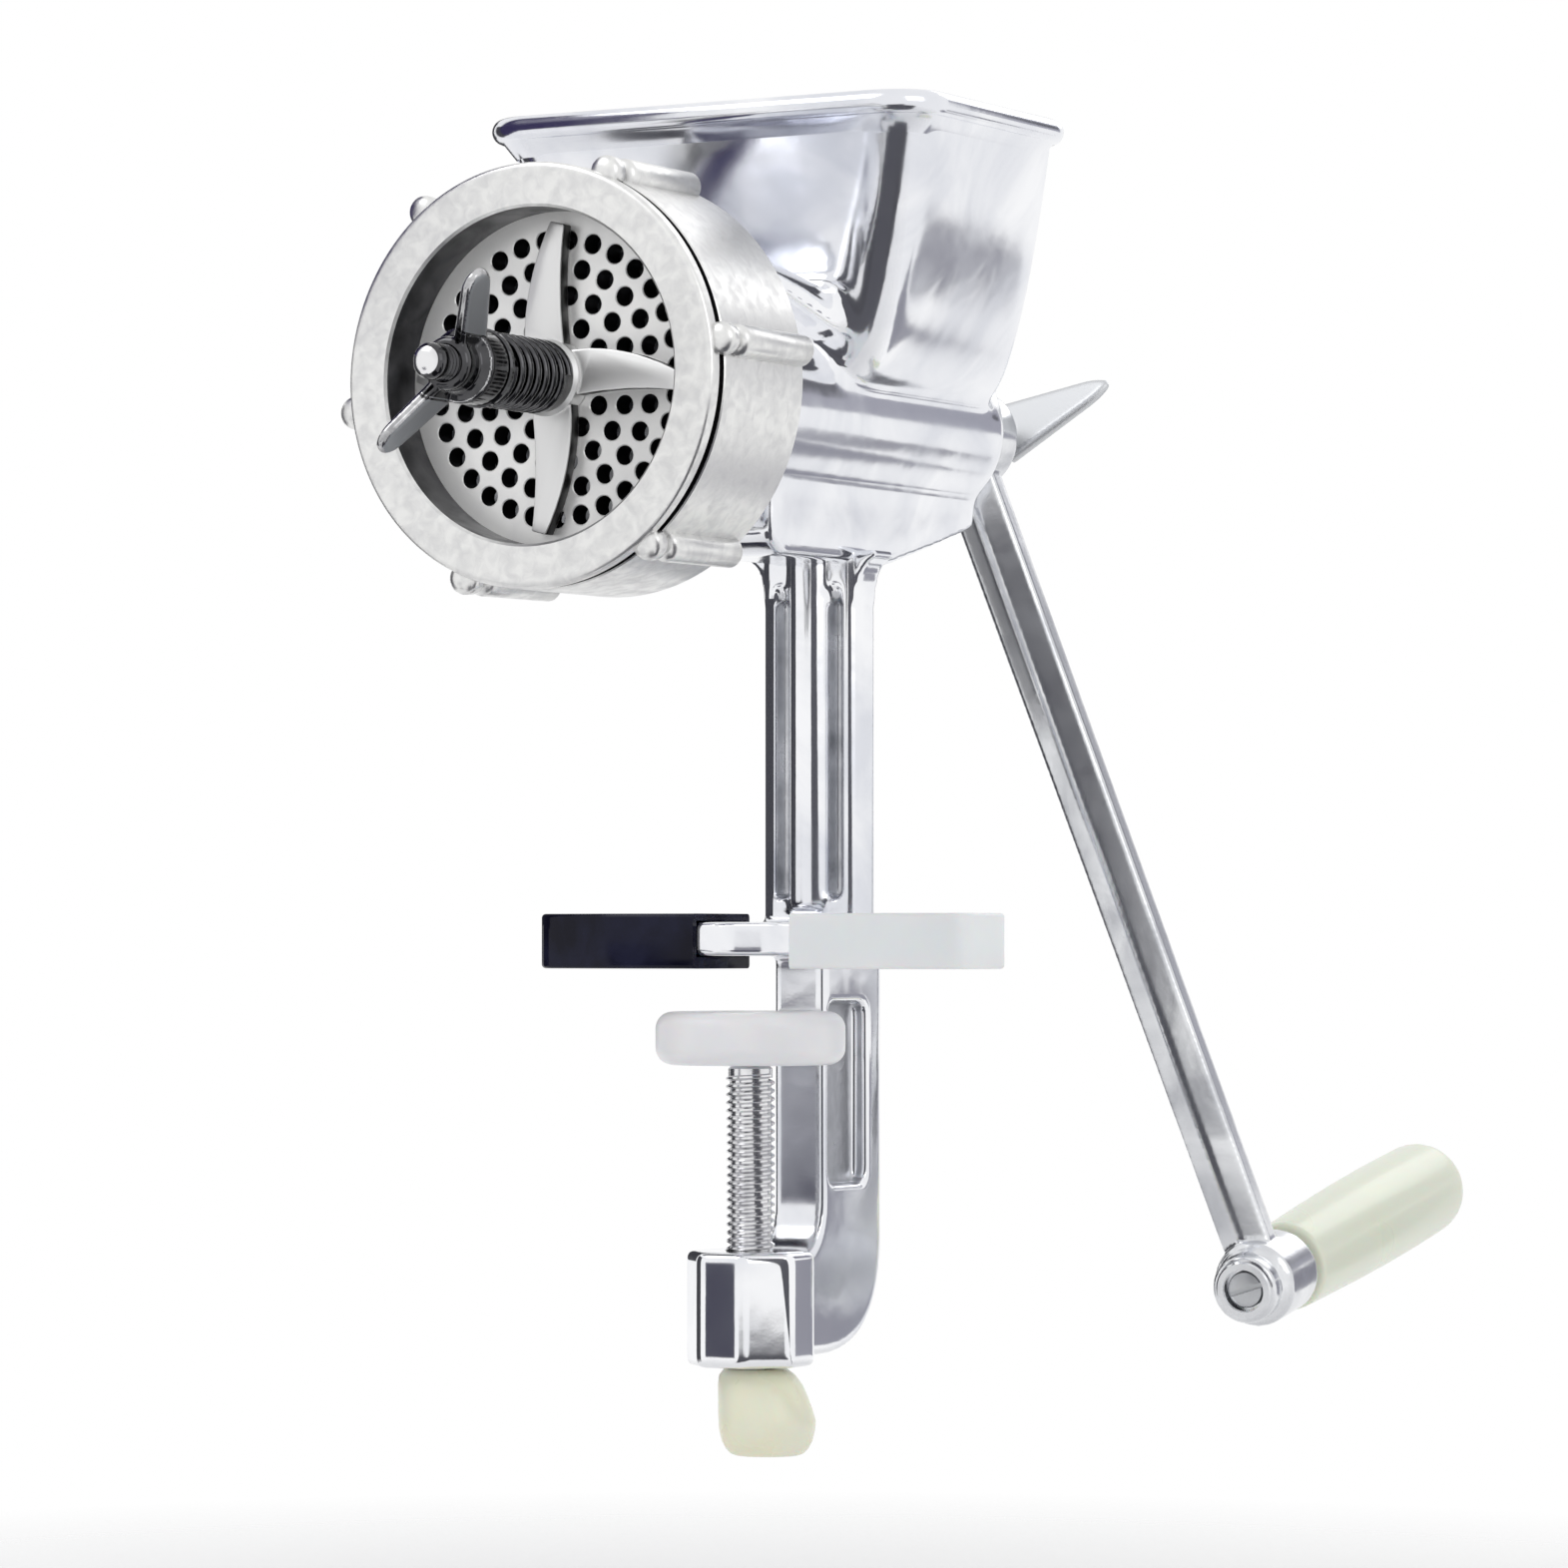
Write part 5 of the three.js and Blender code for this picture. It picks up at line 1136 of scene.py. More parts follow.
@dataclass
class CuttingSet:
    """The plate, its bush and key, the cutter, the spring and the stud."""

    plate_radius: float = 42.0
    plate_front: float = -86.7
    plate_back: float = -80.7
    hub_bore: float = 6.6
    hole_radius: float = 2.2
    hole_pitch: float = 6.3
    first_row: float = 12.6
    row_pitch: float = 6.2
    rows: int = 4
    stud_bore: float = 4.3
    cutter_front: float = -92.2
    blade_front: float = -90.6
    blade_back: float = -87.0
    cutter_hub: float = 8.6
    coil_radius: float = 7.4
    coil_front: float = -116.5
    coil_length: float = 23.0
    coils: int = 7
    stud_radius: float = 4.0
    stud_tip: float = -141.0
    nose_back: float = -138.4
    thread_back: float = -104.7

    def holes(self) -> list[Point]:
        """The middles of the plate's holes, row by row, each second row turned half a step."""
        found = []
        for row in range(self.rows):
            radius = self.first_row + row * self.row_pitch
            count = int(math.tau * radius / self.hole_pitch)
            for i in range(count):
                angle = math.tau * (i + 0.5 * (row % 2)) / count
                found.append((radius * math.sin(angle), AXIS_HEIGHT + radius * math.cos(angle)))
        return found

    def plate(self) -> None:
        """Builds the plate: its loops filled, given a thickness and eased round each hole."""
        notch = math.degrees(math.asin(1.8 / self.plate_radius))
        centre = (0, AXIS_HEIGHT)
        outer = arc(centre, self.plate_radius, 90 + notch, 450 - notch, 120)
        outer += arc((0, KEY_HEIGHT), 1.8, 0, -180, 8)
        loops = [outer, arc(centre, self.hub_bore, 0, 352.5, 47)]
        loops += [arc(middle, self.hole_radius, 0, 340, 17) for middle in self.holes()]
        shape = bmesh.new()
        for loop in loops:
            looped(shape, [Facing.ALONG.point(point, self.plate_front) for point in loop])
        bmesh.ops.triangle_fill(shape, edges=shape.edges, use_beauty=True, use_dissolve=False)
        thickened(shape, Vector((0, self.plate_back - self.plate_front, 0)))
        # The hole walls take the near-black finish, painted shade.
        painted(shape, lambda middle, normal, reach: (
            abs(normal.y) < 0.5 and self.hub_bore + 1 < reach < self.plate_radius - 6))
        eased(shape, 0.22, 1.0, 1, 0)
        place(shape, "plate_bored", "plate", "plate_bright", "die_plate", PLATE, HOLES, sharp=25)

    def cutter(self) -> None:
        """Builds the four-bladed cutter with its hub."""
        outline = [(-5.25, 0.0), *sweep((-5.25, 0), (-8.65, 17.5), (0.6, 35), 12), (4.2, 34.1)]
        outline += sweep((4.2, 34.1), (1.85, 17.5), (5.25, 0), 12)
        shapes = []
        for i in range(4):
            blade = bevelled(extruded(outline, Facing.ALONG, self.blade_front, self.blade_back), 0.35, 2, 40)
            shapes.append(moved(blade, BARREL @ Matrix.Rotation(math.tau * i / 4, 4, "Y")))
        front, back, radius = self.cutter_front, self.blade_back, self.cutter_hub
        profile = [(0, front), (radius - 0.8, front), (radius, front + 0.8), (radius, back), (0, back)]
        hub = turned(profile, BARREL, 64)
        shape = combined(shapes[0], [*shapes[1:], hub], Join.ADD)
        flats = extruded(box(3.5, 125, 139), Facing.ALONG, -95, -84)
        bore = combined(rod(self.stud_bore, -95, -84, BARREL, 48), [flats], Join.KEEP)
        shape = combined(shape, [bore], Join.CUT)
        # The blades' side walls take the near-black finish, painted shade.
        painted(shape, lambda middle, normal, reach: reach > radius + 0.2 and abs(normal.y) < 0.35)
        place(shape, "cutter_blades", "cutter", "blade_steel", "cutter", BLADE, BLADE_SIDE, sharp=28)

    def spring(self) -> None:
        """Builds the spring, with a mesh of its own."""
        wire = arc((self.coil_radius, self.coil_front), 1.0, 0, 330, 11)
        shape = coiled(wire, self.coils, self.coil_length / self.coils, BARREL)
        piece = place(shape, "spring_coil", "crank", "dark_steel", "cutter_spring", SPRING, sharp=60)
        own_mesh(piece)

    def stud(self) -> None:
        """Builds the stud: a threaded front with a rounded end and a plain flatted shank."""
        radius, tip, nose, back = self.stud_radius, self.stud_tip, self.nose_back, self.thread_back
        thread = threaded(radius, 3.45, -137.6, -103, 1.25, BARREL)
        end = [(0, tip), *sweep((0, tip), (4.1, tip), (4.1, nose), 8), (4.1, -137.2), (0, -136.4)]
        flats = extruded(box(3.2, 120, 144), Facing.ALONG, back, -60)
        shank = combined(rod(radius, back, -61, BARREL, 40), [flats], Join.KEEP)
        whole = merged([thread, turned(end, BARREL, 40), shank])
        bmesh.ops.recalc_face_normals(whole, faces=whole.faces)
        painted(whole, lambda middle, normal, reach: (
            middle.y < back and not (middle.y < nose and normal.y < -0.85)))
        place(whole, "stud_threaded", "crank", "plain_steel", "front_stud", THREAD, NECK)

    def bush(self) -> None:
        """Builds the bush in the plate's middle and the key that stops the plate turning."""
        inner, outer, front, back = self.stud_bore, self.hub_bore - 0.3, self.plate_front, self.plate_back
        sleeve = [(inner, front), (outer, front), (outer, back), (inner, back)]
        place(turned(sleeve, BARREL, 48, True), "plate_sleeve", "plate", "bronze", "plate_bush", BRONZE)
        key = chamfered(0, 1.5, -86.4, -75.9, 0.4, 0.4)
        pin = turned(key, Matrix.Translation((0, 0, KEY_HEIGHT)), 24)
        place(pin, "plate_key_pin", "frame", "plain_steel", "plate_key", PLAIN)

    def build(self) -> None:
        """Builds the set."""
        self.plate()
        self.bush()
        self.cutter()
        self.spring()
        self.stud()


def wing(
    reach: float, width: float, thickness: float, flare: float, root: float, tip: float, twist: float,
) -> Mesh:
    """One wing of a wing nut, leaving the middle along +X.

    Args:
        reach: how far its tip is from the middle, mm.
        width: its width at the root, mm.
        thickness: its thickness, mm.
        flare: how far it leans along the axis, mm.
        root: the collar's radius, mm.
        tip: the tip's width as a share of the root's.
        twist: how far it is turned flat, degrees.

    Returns:
        The closed mesh, with the axis along Y through the origin.
    """
    inner = root * 0.6
    slope, length = math.atan2(flare, reach - inner), math.hypot(flare, reach - inner)
    rings = []
    for share in (0, 0.25, 0.5, 0.7, 0.8, 0.87, 0.93, 0.97, 0.99, 1):
        end = max(0.0, (share - 0.8) / 0.2)
        half = width / 2 * lerp(1, tip, share) * math.sqrt(1 - 0.88 * end * end)
        thick = thickness / 2 * (1 - 0.25 * share) * math.sqrt(1 - 0.6 * end**4)
        section = rounded(2 * half, 2 * thick, 0.96 * min(thick, half), (0, 0), 5)
        rings.append([Vector((length * share, u, v)) for u, v in section])
    shape = lofted(rings)
    turn = Matrix.Rotation(slope, 4, "Z") @ Matrix.Rotation(math.radians(twist), 4, "X")
    return moved(shape, Matrix.Translation((inner, 0, 0)) @ turn)


def winged(collar: Mesh, one_wing: Mesh, height: float, angle: float, cell: float) -> Mesh:
    """A collar with two opposite wings, fused as one forging.

    Args:
        collar: the collar, already in place.
        one_wing: the wing along +X.
        height: where the wings leave the collar, along Y.
        angle: how far the first wing is above +X, degrees.
        cell: the size of the fused surface's faces, mm.

    Returns:
        The closed mesh.
    """
    other = one_wing.copy()
    for shape, degrees in ((one_wing, -angle), (other, 180 - angle)):
        turn = Matrix.Rotation(math.radians(degrees), 4, "Y") @ Matrix.Translation((0, height, 0))
        moved(shape, BARREL @ turn)
    return fused([collar, one_wing, other], cell, 3)


@dataclass
class WingNut:
    """The wing nut and washer that hold the spring."""

    collar_radius: float = 8.4
    neck_radius: float = 6.0
    front: float = -133.2
    neck_back: float = -127.7
    back: float = -119.7
    bore: float = 4.3
    wing_angle: float = 56.0

    def slot_of(self, middle: Vector, normal: Vector, reach: float) -> int:
        """The finish of a face: 1 on the neck and collar, 0 on the wings' flats and 2 on their edges, whose
        lighter finish is a painted highlight.

        Args:
            middle: the face's middle, mm.
            normal: its normal.
            reach: its distance from the barrel's axis, mm.

        Returns:
            The finish's number.
        """
        if reach < self.collar_radius - 0.5 or abs(reach - self.collar_radius) < 0.3:
            return 1
        out = Vector((middle.x, 0, middle.z - AXIS_HEIGHT))
        return 0 if abs(normal.dot(out.cross((0, 1, 0)).normalized())) > 0.9 else 2

    def build(self) -> None:
        """Builds the nut and its washer."""
        neck, collar = self.neck_radius, self.collar_radius
        profile = [(0, self.front), (neck - 1.6, self.front)]
        profile += sweep((neck - 1.6, self.front), (neck, self.front), (neck, self.front + 1.8), 5)
        profile += [(neck, self.neck_back), (collar, self.neck_back + 1.2)]
        profile += [(collar, self.back), (0, self.back)]
        one = wing(22.5, 9.5, 3.4, -13, neck, 0.8, 0)
        shape = winged(turned(profile, BARREL, 64), one, -126.45, self.wing_angle, 0.36)
        # The wings' edges take the lighter finish, a painted highlight.
        shape = painted(combined(shape, [rod(self.bore, -150, -110, BARREL, 40)], Join.CUT), self.slot_of)
        place(shape, "wing_nut_forged", "wing_nut", "dark_steel", "wing_nut", DARK, NECK, WING_EDGE, sharp=40)
        washer = [(self.bore, -119.1), (4.6, -119.4), (8.4, -119.4), (8.8, -119), (8.8, -118.2)]
        washer += [(8.4, -117.8), (self.bore, -117.8)]
        flat = turned(washer, BARREL, 56, True)
        place(flat, "nut_washer_flat", "nut_seat", "dark_steel", "nut_washer", NECK)


@dataclass
class Auger:
    """The auger with its helical flight, the bearing bush and the thrust washer."""

    head: float = 13.0
    core: float = 8.0
    collar: float = 11.5
    journal: float = 9.0
    nose: float = -76.7
    back: float = 91.45
    start: float = -73.5
    end: float = 69.0
    pitch: float = 24.0
    thickness: float = 3.2

    def build(self) -> None:
        """Builds the auger and dresses the bearing parts."""
        collar, journal, back = self.collar, self.journal, self.back
        profile = [(0, self.nose), (self.head, self.nose), (self.head, -59), (self.core, -46)]
        profile += [(self.core, 66), (collar, 70), (collar, 73.6)]
        profile += [(journal, 73.6), (journal, back), (0, back)]
        core = turned(profile, BARREL, 64)
        half = self.thickness / 2
        tapered = ((5, -1), (36, -0.66), (36, 0.66), (5, 1))
        section = [(radius, self.start + side * half) for radius, side in tapered]
        turns = (self.end - self.start) / self.pitch
        flight = coiled(section, turns, self.pitch, BARREL @ Matrix.Scale(-1, 4, (0, 0, 1)), 48)
        bmesh.ops.reverse_faces(flight, faces=flight.faces)
        room = turned([(0, -76), (34.7, -76), (34.7, -59), (16.2, -46), (16.2, 72), (0, 72)], BARREL, 96)
        square = extruded(box(5.5, 126.5, 137.5), Facing.ALONG, 89, 112)
        shape = merged([core, combined(flight, [room], Join.KEEP), bevelled(square, 0.5)])
        place(shape, "auger_helical", "crank", "cast_aluminium", "auger", CRANK_CAST, sharp=35)
        dress("rear_bush", BRONZE)
        dress("thrust_washer", BRONZE)


@dataclass
class Crank:
    """The crank arm with its hub and end boss, the grip bolt, its washer, the grip and its cap."""

    hub_radius: float = 12.5
    hub_start: float = 91.9
    hub_end: float = 112.9
    boss_radius: float = 10.6
    half_boss: float = 12.5
    grip_radius: float = 11.2
    grip_start: float = 14.3
    grip_end: float = 117.3

    def section(self, half: float) -> list[Point]:
        """The arm's section, with a soft ridge between its two front slopes.

        Args:
            half: how far it reaches to each side, mm.

        Returns:
            The closed outline.
        """
        outline = sweep((-1.6, -4.44), (-0.4, -4.85), (1.0, -4.32), 6)
        outline += sweep((half - 0.5, -2.15), (half, -1.95), (half, -1.4), 4)
        outline += sweep((half, 2.2), (half, 4.75), (half - 2.6, 4.75), 5)
        outline += sweep((2.6 - half, 4.75), (-half, 4.75), (-half, 2.2), 5)
        outline += sweep((-half, -2.3), (-half, -3.1), (1 - half, -3.45), 4)
        return [(-1.6, -4.44), *outline]

    def arm(self) -> None:
        """Builds the arm, hub and boss as one casting."""
        hub = turned(chamfered(0, self.hub_radius, self.hub_start, self.hub_end, 1.2, 1.2), CRANK, 72)
        rings = []
        for share in (i / 12 for i in range(13)):
            middle = lerp((self.hub_start + self.hub_end) / 2, GRIP_BOSS, share)
            outline = self.section(lerp(6.75, 6.25, share))
            rings.append([Vector((x, middle + y, -CRANK_REACH * share)) for x, y in outline])
        bar = moved(lofted(rings), CRANK)
        radius, half = self.boss_radius, self.half_boss
        profile = [(0, -half), (7.4, -half), *sweep((7.4, -half), (8.5, -half), (8.5, 1.1 - half), 5)]
        profile += [(8.5, -7.4), (9.3, -7.0), (9.3, -6.3), (radius, -5.4)]
        profile += [(radius, half - 1.8), (radius - 1.8, half), (0, half)]
        body = fused([hub, bar, turned(profile, GRIP, 72)], 0.5, 3)
        recess = turned([(0, -20), (5.2, -20), (5.2, -9.5), (3.3, -9.5), (3.3, 20), (0, 20)], GRIP, 56)
        square = moved(extruded(box(5.8, -5.8, 5.8), Facing.ALONG, 85, 120), CRANK)
        whole = combined(body, [recess, square], Join.CUT)
        place(whole, "crank_arm_cast", "crank", "cast_aluminium", "crank_arm", CRANK_CAST, sharp=40)
        ring = [(5.2, -12.2), (5.4, -12.8), (6.9, -12.8), (7.3, -12.5), (7.3, -11.5), (5.2, -11.5)]
        lip = turned(ring, GRIP, 64, True)
        place(lip, "crank_boss_ring", "crank", "cast_aluminium", "crank_arm", CRANK_CAST)

    def bolt(self) -> None:
        """Builds the slotted bolt and its washer."""
        head = [(0, -12.1), (3.2, -12.0), (4.3, -11.6), (4.6, -11.1), (4.6, -9.8), (3, -9.8)]
        bolt = turned([*head, (3, 78.1), (4.6, 78.1), (4.6, 80.3), (0, 80.3)], GRIP, 48)
        slot = moved(extruded(box(8, -0.6, 0.6), Facing.ALONG, -14, -10.9), GRIP)
        bolt = combined(bolt, [slot], Join.CUT)
        place(bolt, "grip_bolt_slotted", "crank", "plain_steel", "grip_bolt", PLAIN)
        flat = turned(chamfered(3.3, 8, 12.8, 14, 0.2, 0.2), GRIP, 48, True)
        place(flat, "grip_washer_flat", "crank", "plain_steel", "grip_washer", PLAIN)

    def grip(self) -> None:
        """Builds the grip with its domed end, and the cap that closes it."""
        start, end, radius = self.grip_start, self.grip_end, self.grip_radius
        dome, widest = end - 8.96, radius + 1.3 * math.sin(math.pi * 0.7)
        profile = [(3.3, start), (radius - 1.4, start)]
        profile += sweep((radius - 1.4, start), (radius, start), (radius, start + 1.6), 5)
        for share in (i / 14 for i in range(1, 15)):
            profile.append((radius + 1.3 * math.sin(math.pi * share * 0.7), lerp(start + 1.6, dome, share)))
        for angle in (math.radians(7.5 * i) for i in range(1, 13)):
            profile.append((4.9 + (widest - 4.9) * math.cos(angle), dome + (end - dome) * math.sin(angle)))
        profile += [(4.9, 77.8), (3.3, 77.8)]
        handle = turned(profile, GRIP, 96, True)
        place(handle, "grip_moulded", "grip", "grip_pale", "grip", PALE_GRIP, sharp=50)
        cap = [(0, 112.9), (4.6, 112.9), (4.6, end), *sweep((4.6, end), (3.8, end + 1), (0, end + 1), 8)]
        place(turned(cap, GRIP, 48), "grip_cap_domed", "grip", "grip_pale", "grip_cap", PALE_GRIP, sharp=50)

    def build(self) -> None:
        """Builds the crank and grip."""
        self.arm()
        self.bolt()
        self.grip()


@dataclass
class WingScrew:
    """The wing screw that holds the crank, with its washer."""

    collar: float = 7.6
    seat: float = 115.1

    def build(self) -> None:
        """Builds the screw and its washer."""
        radius, seat = self.collar, self.seat
        profile = [(0, seat), (radius, seat), (radius, seat + 6.2)]
        profile += sweep((radius, seat + 6.2), (radius, seat + 8), (radius - 2.2, seat + 8), 5)
        profile.append((0, seat + 8))
        dip = (19 * math.cos(math.radians(62)) + 3.4) / 2
        one = wing(34, 19, 3.4, 3.25, radius, 0.24, 62)
        head = winged(turned(profile, BARREL, 56), one, seat + 0.3 + dip, 24, 0.42)
        whole = merged([head, threaded(3.0, 2.5, 90.9, 116.5, 1.0, BARREL)])
        place(whole, "wing_screw_forged", "wing_screw", "plain_steel", "wing_screw", PLAIN, sharp=40)
        flat = turned(chamfered(3.3, 9.4, 113.2, 114.8, 0.4, 0.3), BARREL, 56, True)
        place(flat, "crank_washer_flat", "crank_seat", "plain_steel", "crank_washer", PLAIN)


@dataclass
class Clamp:
    """The disc, clamp screw, retaining ring, knob and pin under the jaw."""

    disc_radius: float = 22.3
    disc_bottom: float = -22.5
    disc_top: float = -10.0
    screw_radius: float = 5.7
    screw_pitch: float = 1.9
    knob_bottom: float = -113.6
    knob_height: float = 20.0
    pin_height: float = -99.8

    def disc(self) -> None:
        """Builds the disc that presses the table from below."""
        radius, low, high, soft = self.disc_radius, self.disc_bottom, self.disc_top, 4.0
        profile = [(3.9, low), (radius - soft, low)]
        profile += arc((radius - soft, low + soft), soft, -90, 0, 8)[1:]
        profile += arc((radius - soft, high - soft), soft, 0, 90, 8)
        profile += [(0, high), (0, -13.5), (3.9, -13.5), (3.9, -16), (6.3, -16), (6.3, -18), (3.9, -18)]
        shape = turned(profile, UPRIGHT, 96, True)
        place(shape, "disc_moulded", "disc", "disc_white", "clamp_disc", DISC, sharp=50)

    def screw(self) -> None:
        """Builds the clamp screw with its thread, plain ends and grooved spigot."""
        radius = self.screw_radius
        thread = threaded(radius, radius - 0.85, -94.5, -23.2, self.screw_pitch, UPRIGHT)
        neck = rod(4.6, -106.3, -91, UPRIGHT, 40)
        spigot = turned([(0, -25.5), (5.2, -25.5), (5.2, -23.4), (4.6, -22.8), (3.6, -22.8), (3.6, -18),
                         (2.6, -18), (2.6, -16), (3.6, -16), (3.6, -13.8), (0, -13.8)], UPRIGHT, 40)
        whole = merged([thread, neck, spigot])
        place(whole, "clamp_screw_threaded", "screw", "plain_steel", "clamp_screw", THREAD)
        dress("disc_retainer", PLAIN)

    def knob(self) -> None:
        """Builds the lopsided knob and its pin."""
        rows = ((7.6, 0, 1), (8.6, 0.02, 1), (9.6, 0.07, 1), (10.6, 0.16, 1), (11.3, 0.3, 1), (11.4, 0.4, 1),
                (11.1, 0.52, 0.9), (10.5, 0.68, 0.75), (9.9, 0.82, 0.58), (8.9, 0.93, 0.4), (7.4, 1, 0.3))
        rings = []
        for radius, share, offset in rows:
            ring = arc((4.5 * offset, 0), radius, 0, 352.5, 47)
            height = self.knob_bottom + self.knob_height * share
            rings.append([Facing.UP.point(point, height) for point in ring])
        socket = rod(4.9, -106.6, -90, UPRIGHT, 40)
        shape = combined(lofted(rings), [socket], Join.CUT)
        place(shape, "knob_moulded", "screw", "knob_pale", "clamp_knob", KNOB, sharp=50)
        middle = Matrix.Translation((0, 0, self.pin_height))
        cross = turned(chamfered(0, 1.5, -9.2, 9.2, 0.3, 0.3), middle, 24)
        place(cross, "knob_pin_rounded", "screw", "plain_steel", "knob_pin", PLAIN)

    def build(self) -> None:
        """Builds the clamp."""
        self.disc()
        self.screw()
        self.knob()


# ---------------------------------------------------------------- the studio


@dataclass
class Studio:
    """The floor, the lamps, the dark cards that the metal mirrors, and the camera."""

    floor_height: float = -0.1556
    ambient: float = 0.72
    camera_place: Triple = (0.750, -1.29904, 0.006)
    camera_turn: float = 0.300
    camera_pitch: float = 1.428
    lens: float = 146.66

    def world(self) -> None:
        """A white room to the eye and in reflections, with a softer light on the object."""
        made = bpy.data.worlds.new("studio")
        bpy.context.scene.world = made
        made.use_nodes = True
        wiring = Wiring(made.node_tree)
        rays = wiring.add("ShaderNodeLightPath").outputs
        seen = rays["Is Camera Ray"]
        for other in ("Is Glossy Ray", "Is Transmission Ray"):
            seen = wiring.add("ShaderNodeMath", {0: seen, 1: rays[other]}, operation="MAXIMUM").outputs[0]
        strength = wiring.ranged(seen, 0, 1, self.ambient, 1.0)
        wiring.feed(made.node_tree.nodes["Background"], {"Strength": strength, "Color": (1, 1, 1, 1)})

    def floor(self) -> None:
        """A pale floor that fades into the white room."""
        shape = bmesh.new()
        bmesh.ops.create_circle(shape, cap_ends=True, radius=3.0, segments=96)
        bmesh.ops.translate(shape, vec=(0, 0, self.floor_height), verts=shape.verts)
        ground = as_object(shape, "floor")
        made, wiring, shader = new_material("floor_pale")
        spot = wiring.add("ShaderNodeTexCoord").outputs["Object"]
        reach = wiring.add("ShaderNodeVectorMath", {0: spot}, operation="LENGTH").outputs["Value"]
        wiring.feed(shader, {
            "Base Color": (0.9, 0.9, 0.91, 1), "Roughness": 0.9, "Specular IOR Level": 0.1})
        clear = wiring.add("ShaderNodeBsdfTransparent").outputs[0]
        mix = wiring.add("ShaderNodeMixShader", {
            0: wiring.ranged(reach, 0.14, 0.42), 1: shader.outputs[0], 2: clear})
        wiring.feed(wiring.tree.nodes["Material Output"], {"Surface": mix.outputs[0]})
        ground.data.materials.append(made)

    def lamp(self, name: str, spot: Triple, target: Triple, size: float, power: float) -> None:
        """One soft lamp.

        Args:
            name: its name.
            spot: where it hangs, metres.
            target: where it points.
            size: the side of its square face, metres.
            power: its power, watts.
        """
        data = bpy.data.lights.new(name, "AREA")
        data.shape = "SQUARE"
        data.size = size
        data.energy = power
        hung = bpy.data.objects.new(name, data)
        hung.matrix_world = facing(spot, target)
        bpy.context.scene.collection.objects.link(hung)

    def card(
        self, name: str, placing: Matrix, size: Point, shade: float, tint: Triple = (1.0, 1.0, 1.15),
    ) -> None:
        """A card that only mirrors see, for the dark bands in polished metal.

        Args:
            name: its name.
            placing: its middle and the way it faces.
            size: its width and height, metres.
            shade: its brightness in a reflection.
            tint: its colour for one unit of brightness.
        """
        shape = bmesh.new()
        bmesh.ops.create_grid(shape, x_segments=1, y_segments=1, size=0.5)
        board = as_object(moved(shape, placing @ Matrix.Diagonal((*size, 1, 1))), name)
        made, wiring, _ = new_material(name)
        colour = (*(shade * part for part in tint), 1)
        glow = wiring.add("ShaderNodeEmission", {"Color": colour, "Strength": 1.0})
        wiring.feed(wiring.tree.nodes["Material Output"], {"Surface": glow.outputs[0]})
        board.data.materials.append(made)
        for ray in ("camera", "diffuse", "shadow", "transmission"):
            setattr(board, f"visible_{ray}", False)

    def camera(self) -> None:
        """The camera, a long lens a little below the barrel."""
        data = bpy.data.cameras.new("camera")
        data.lens = self.lens
        data.sensor_width = 36
        data.dof.use_dof = False
        eye = bpy.data.objects.new("camera", data)
        flat = Matrix.Rotation(math.radians(-self.camera_turn), 3, "Z") @ Vector((-0.5, 0.8660254, 0))
        pitch = math.radians(self.camera_pitch)
        look = Vector((flat.x * math.cos(pitch), flat.y * math.cos(pitch), math.sin(pitch)))
        eye.location = self.camera_place
        eye.rotation_euler = look.to_track_quat("-Z", "Y").to_euler()
        bpy.context.scene.collection.objects.link(eye)
        bpy.context.scene.camera = eye

    def build(self) -> None:
        """Sets up the whole studio."""
        self.camera()
        self.world()
        self.floor()
        middle = (0.02, 0.0, 0.06)
        for name, spot, size, power in (
            ("key", (-0.7, -1.0, 1.3), 0.8, 5.0),
            ("fill", (1.3, -0.6, 0.6), 0.9, 2.2),
            ("back", (0.2, 1.3, 0.9), 0.8, 2.0),
        ):
            self.lamp(name, spot, middle, size, power)
        for name, spot, target, size, shade, *tint in (
            ("arm", (0.51, 1.06, 0.41), (0.06, 0.1, 0.09), (0.15, 0.20), 0.12),
            ("tube", (0.505, 1.10, 0.395), (0.005, 0.234, 0.395), (0.335, 0.45), 0.38),
            ("right_low", (0.19, 0.37, -0.078), (0.01, 0.05, -0.06), (0.15, 0.10), 0.30),
            ("left_behind", (-0.85, 0.72, 0.30), (0, 0, 0.30), (0.60, 0.72), 0.05),
            ("left", (-1.05, -0.10, 0.02), middle, (0.8, 1.0), 0.06),
            ("front_low", (-0.40, -0.67, -0.082), (0, 0.02, -0.05), (0.16, 0.136), 0.22),
            ("boss", (-0.152, -0.275, -0.092), (0, 0, -0.08), (0.085, 0.07), 0.07, (1.0, 1.0, 1.4)),
            ("rim", (-0.10, -0.10, 0.232), (0, -0.10, 0.232), (0.14, 0.144), 0.045, (1.0, 0.85, 2.2)),
            ("bevel", (0.082, -0.0545, 0.0035), (0.028, 0.146, 0.150), (0.085, 0.27), 0.10),
            ("post", (-0.087, 0.0036, 0.055), (0, 0.027, 0.055), (0.05, 0.085), 0.07),
            ("wall", (0.268, 0.546, -0.043), (0.043, 0.028, 0.165), (0.06, 0.085), 0.28),
        ):
            self.card(f"card_{name}", facing(spot, target), size, shade, *tint)
        for name, angle in (("card_corner_left", -91), ("card_corner_right", -29)):
            around = Matrix.Translation((0.05, -0.02, -0.11)) @ Matrix.Rotation(math.radians(angle), 4, "Z")
            self.card(name, around @ Matrix.Translation((0.19, 0, 0)), (0.30, 0.13), 0.08)
        bpy.context.scene.view_settings.view_transform = "Standard"


def facing(spot: Triple, target: Triple) -> Matrix:
    """A place that looks at a target along its own -Z."""
    look = (Vector(target) - Vector(spot)).to_track_quat("-Z", "Y").to_matrix().to_4x4()
    return Matrix.Translation(spot) @ look


def corners(box: tuple[Vector, Vector]) -> list[list[float]]:
    """A box as plain lists of numbers."""
    return [[float(number) for number in corner] for corner in box]


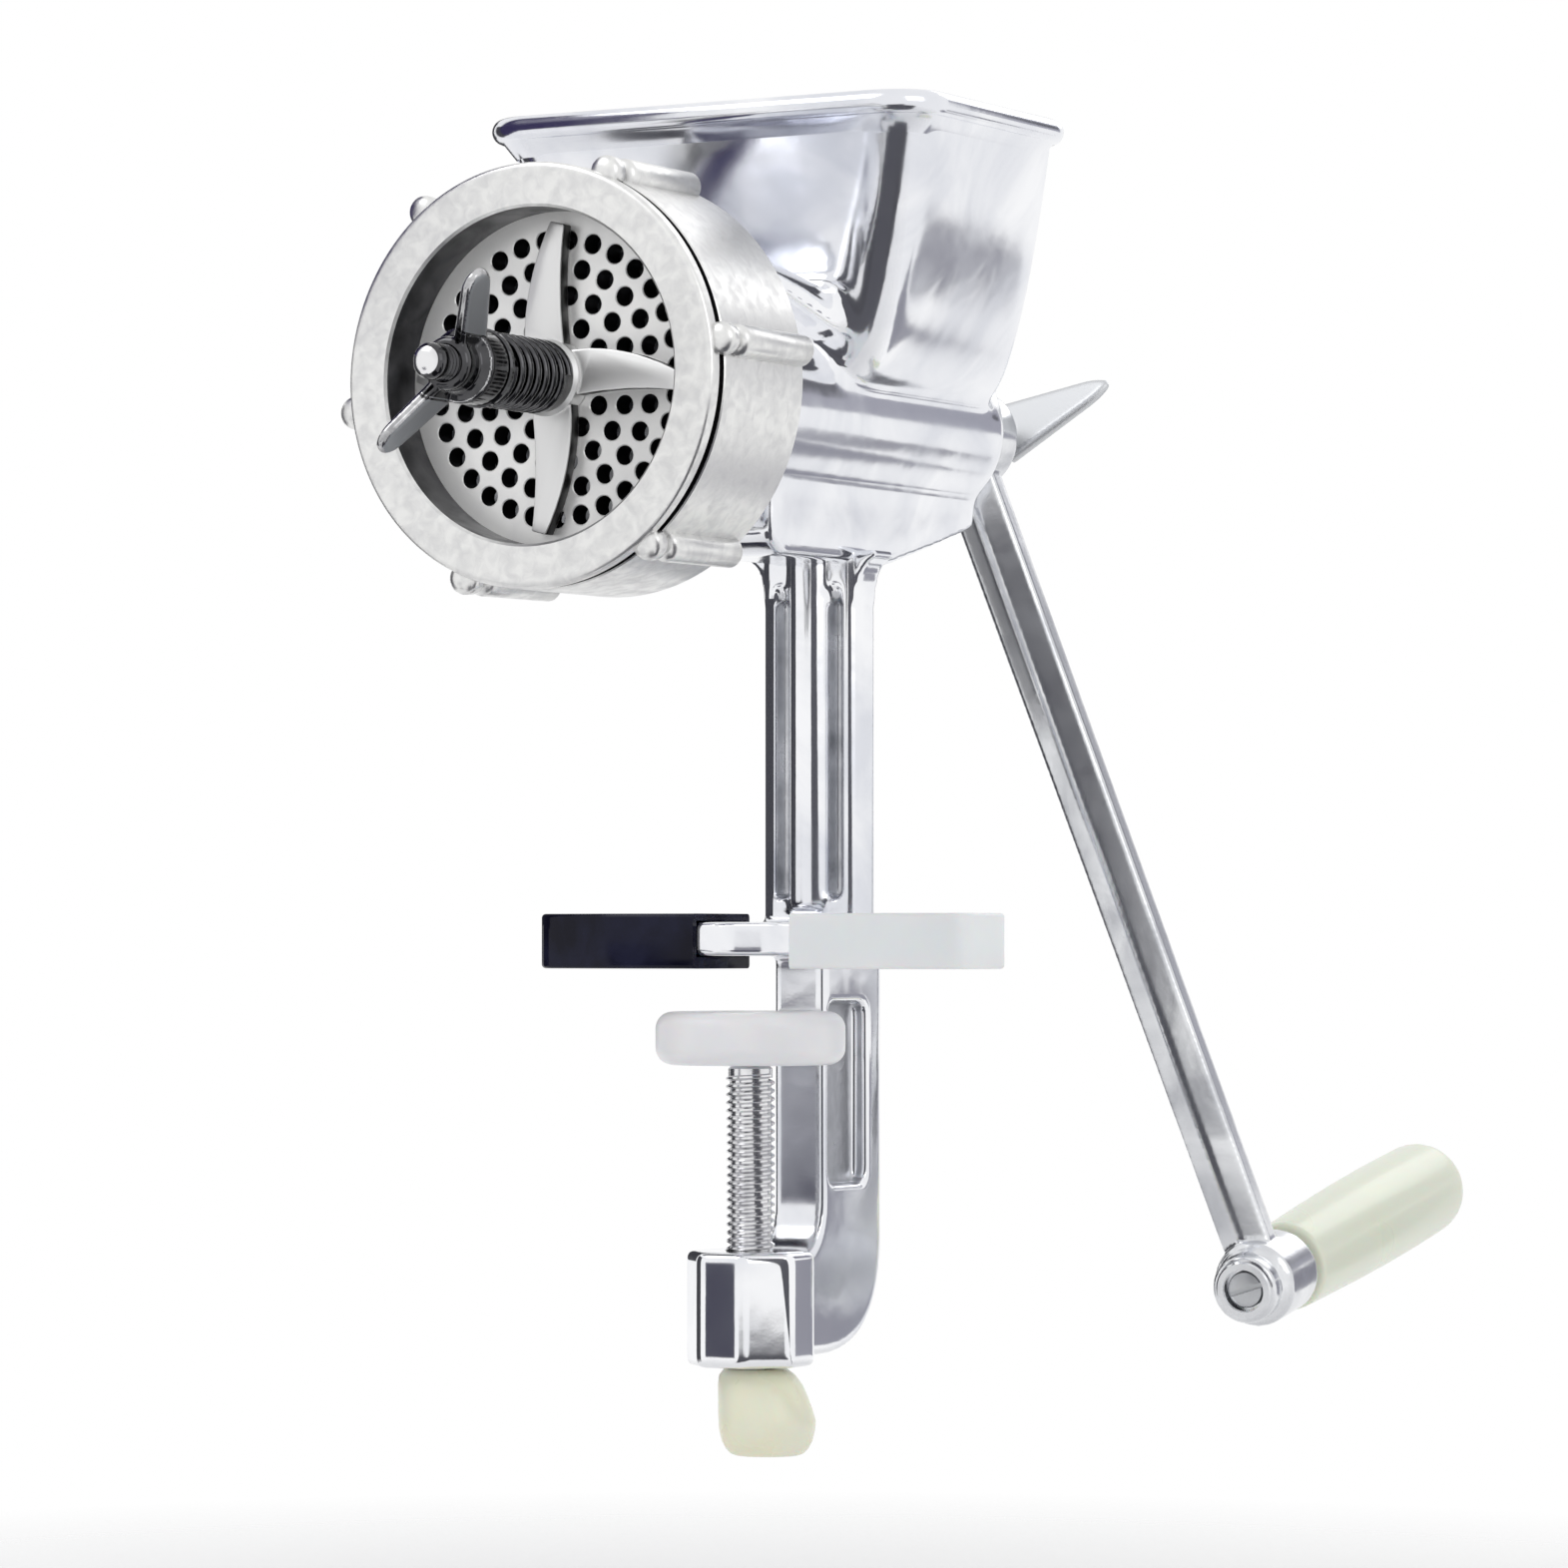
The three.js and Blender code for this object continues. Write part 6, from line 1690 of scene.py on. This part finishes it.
def main() -> None:
    """Builds every piece in order, then the studio."""
    logging.basicConfig(level=logging.INFO, format="%(name)s: %(message)s")
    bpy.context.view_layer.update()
    for kind in (CastBody, JawPads, RingNut, CuttingSet, WingNut, Auger, Crank, WingScrew, Clamp, Studio):
        log.info("building %s", kind.__name__)
        kind().build()


if __name__ == "__main__":
    main()
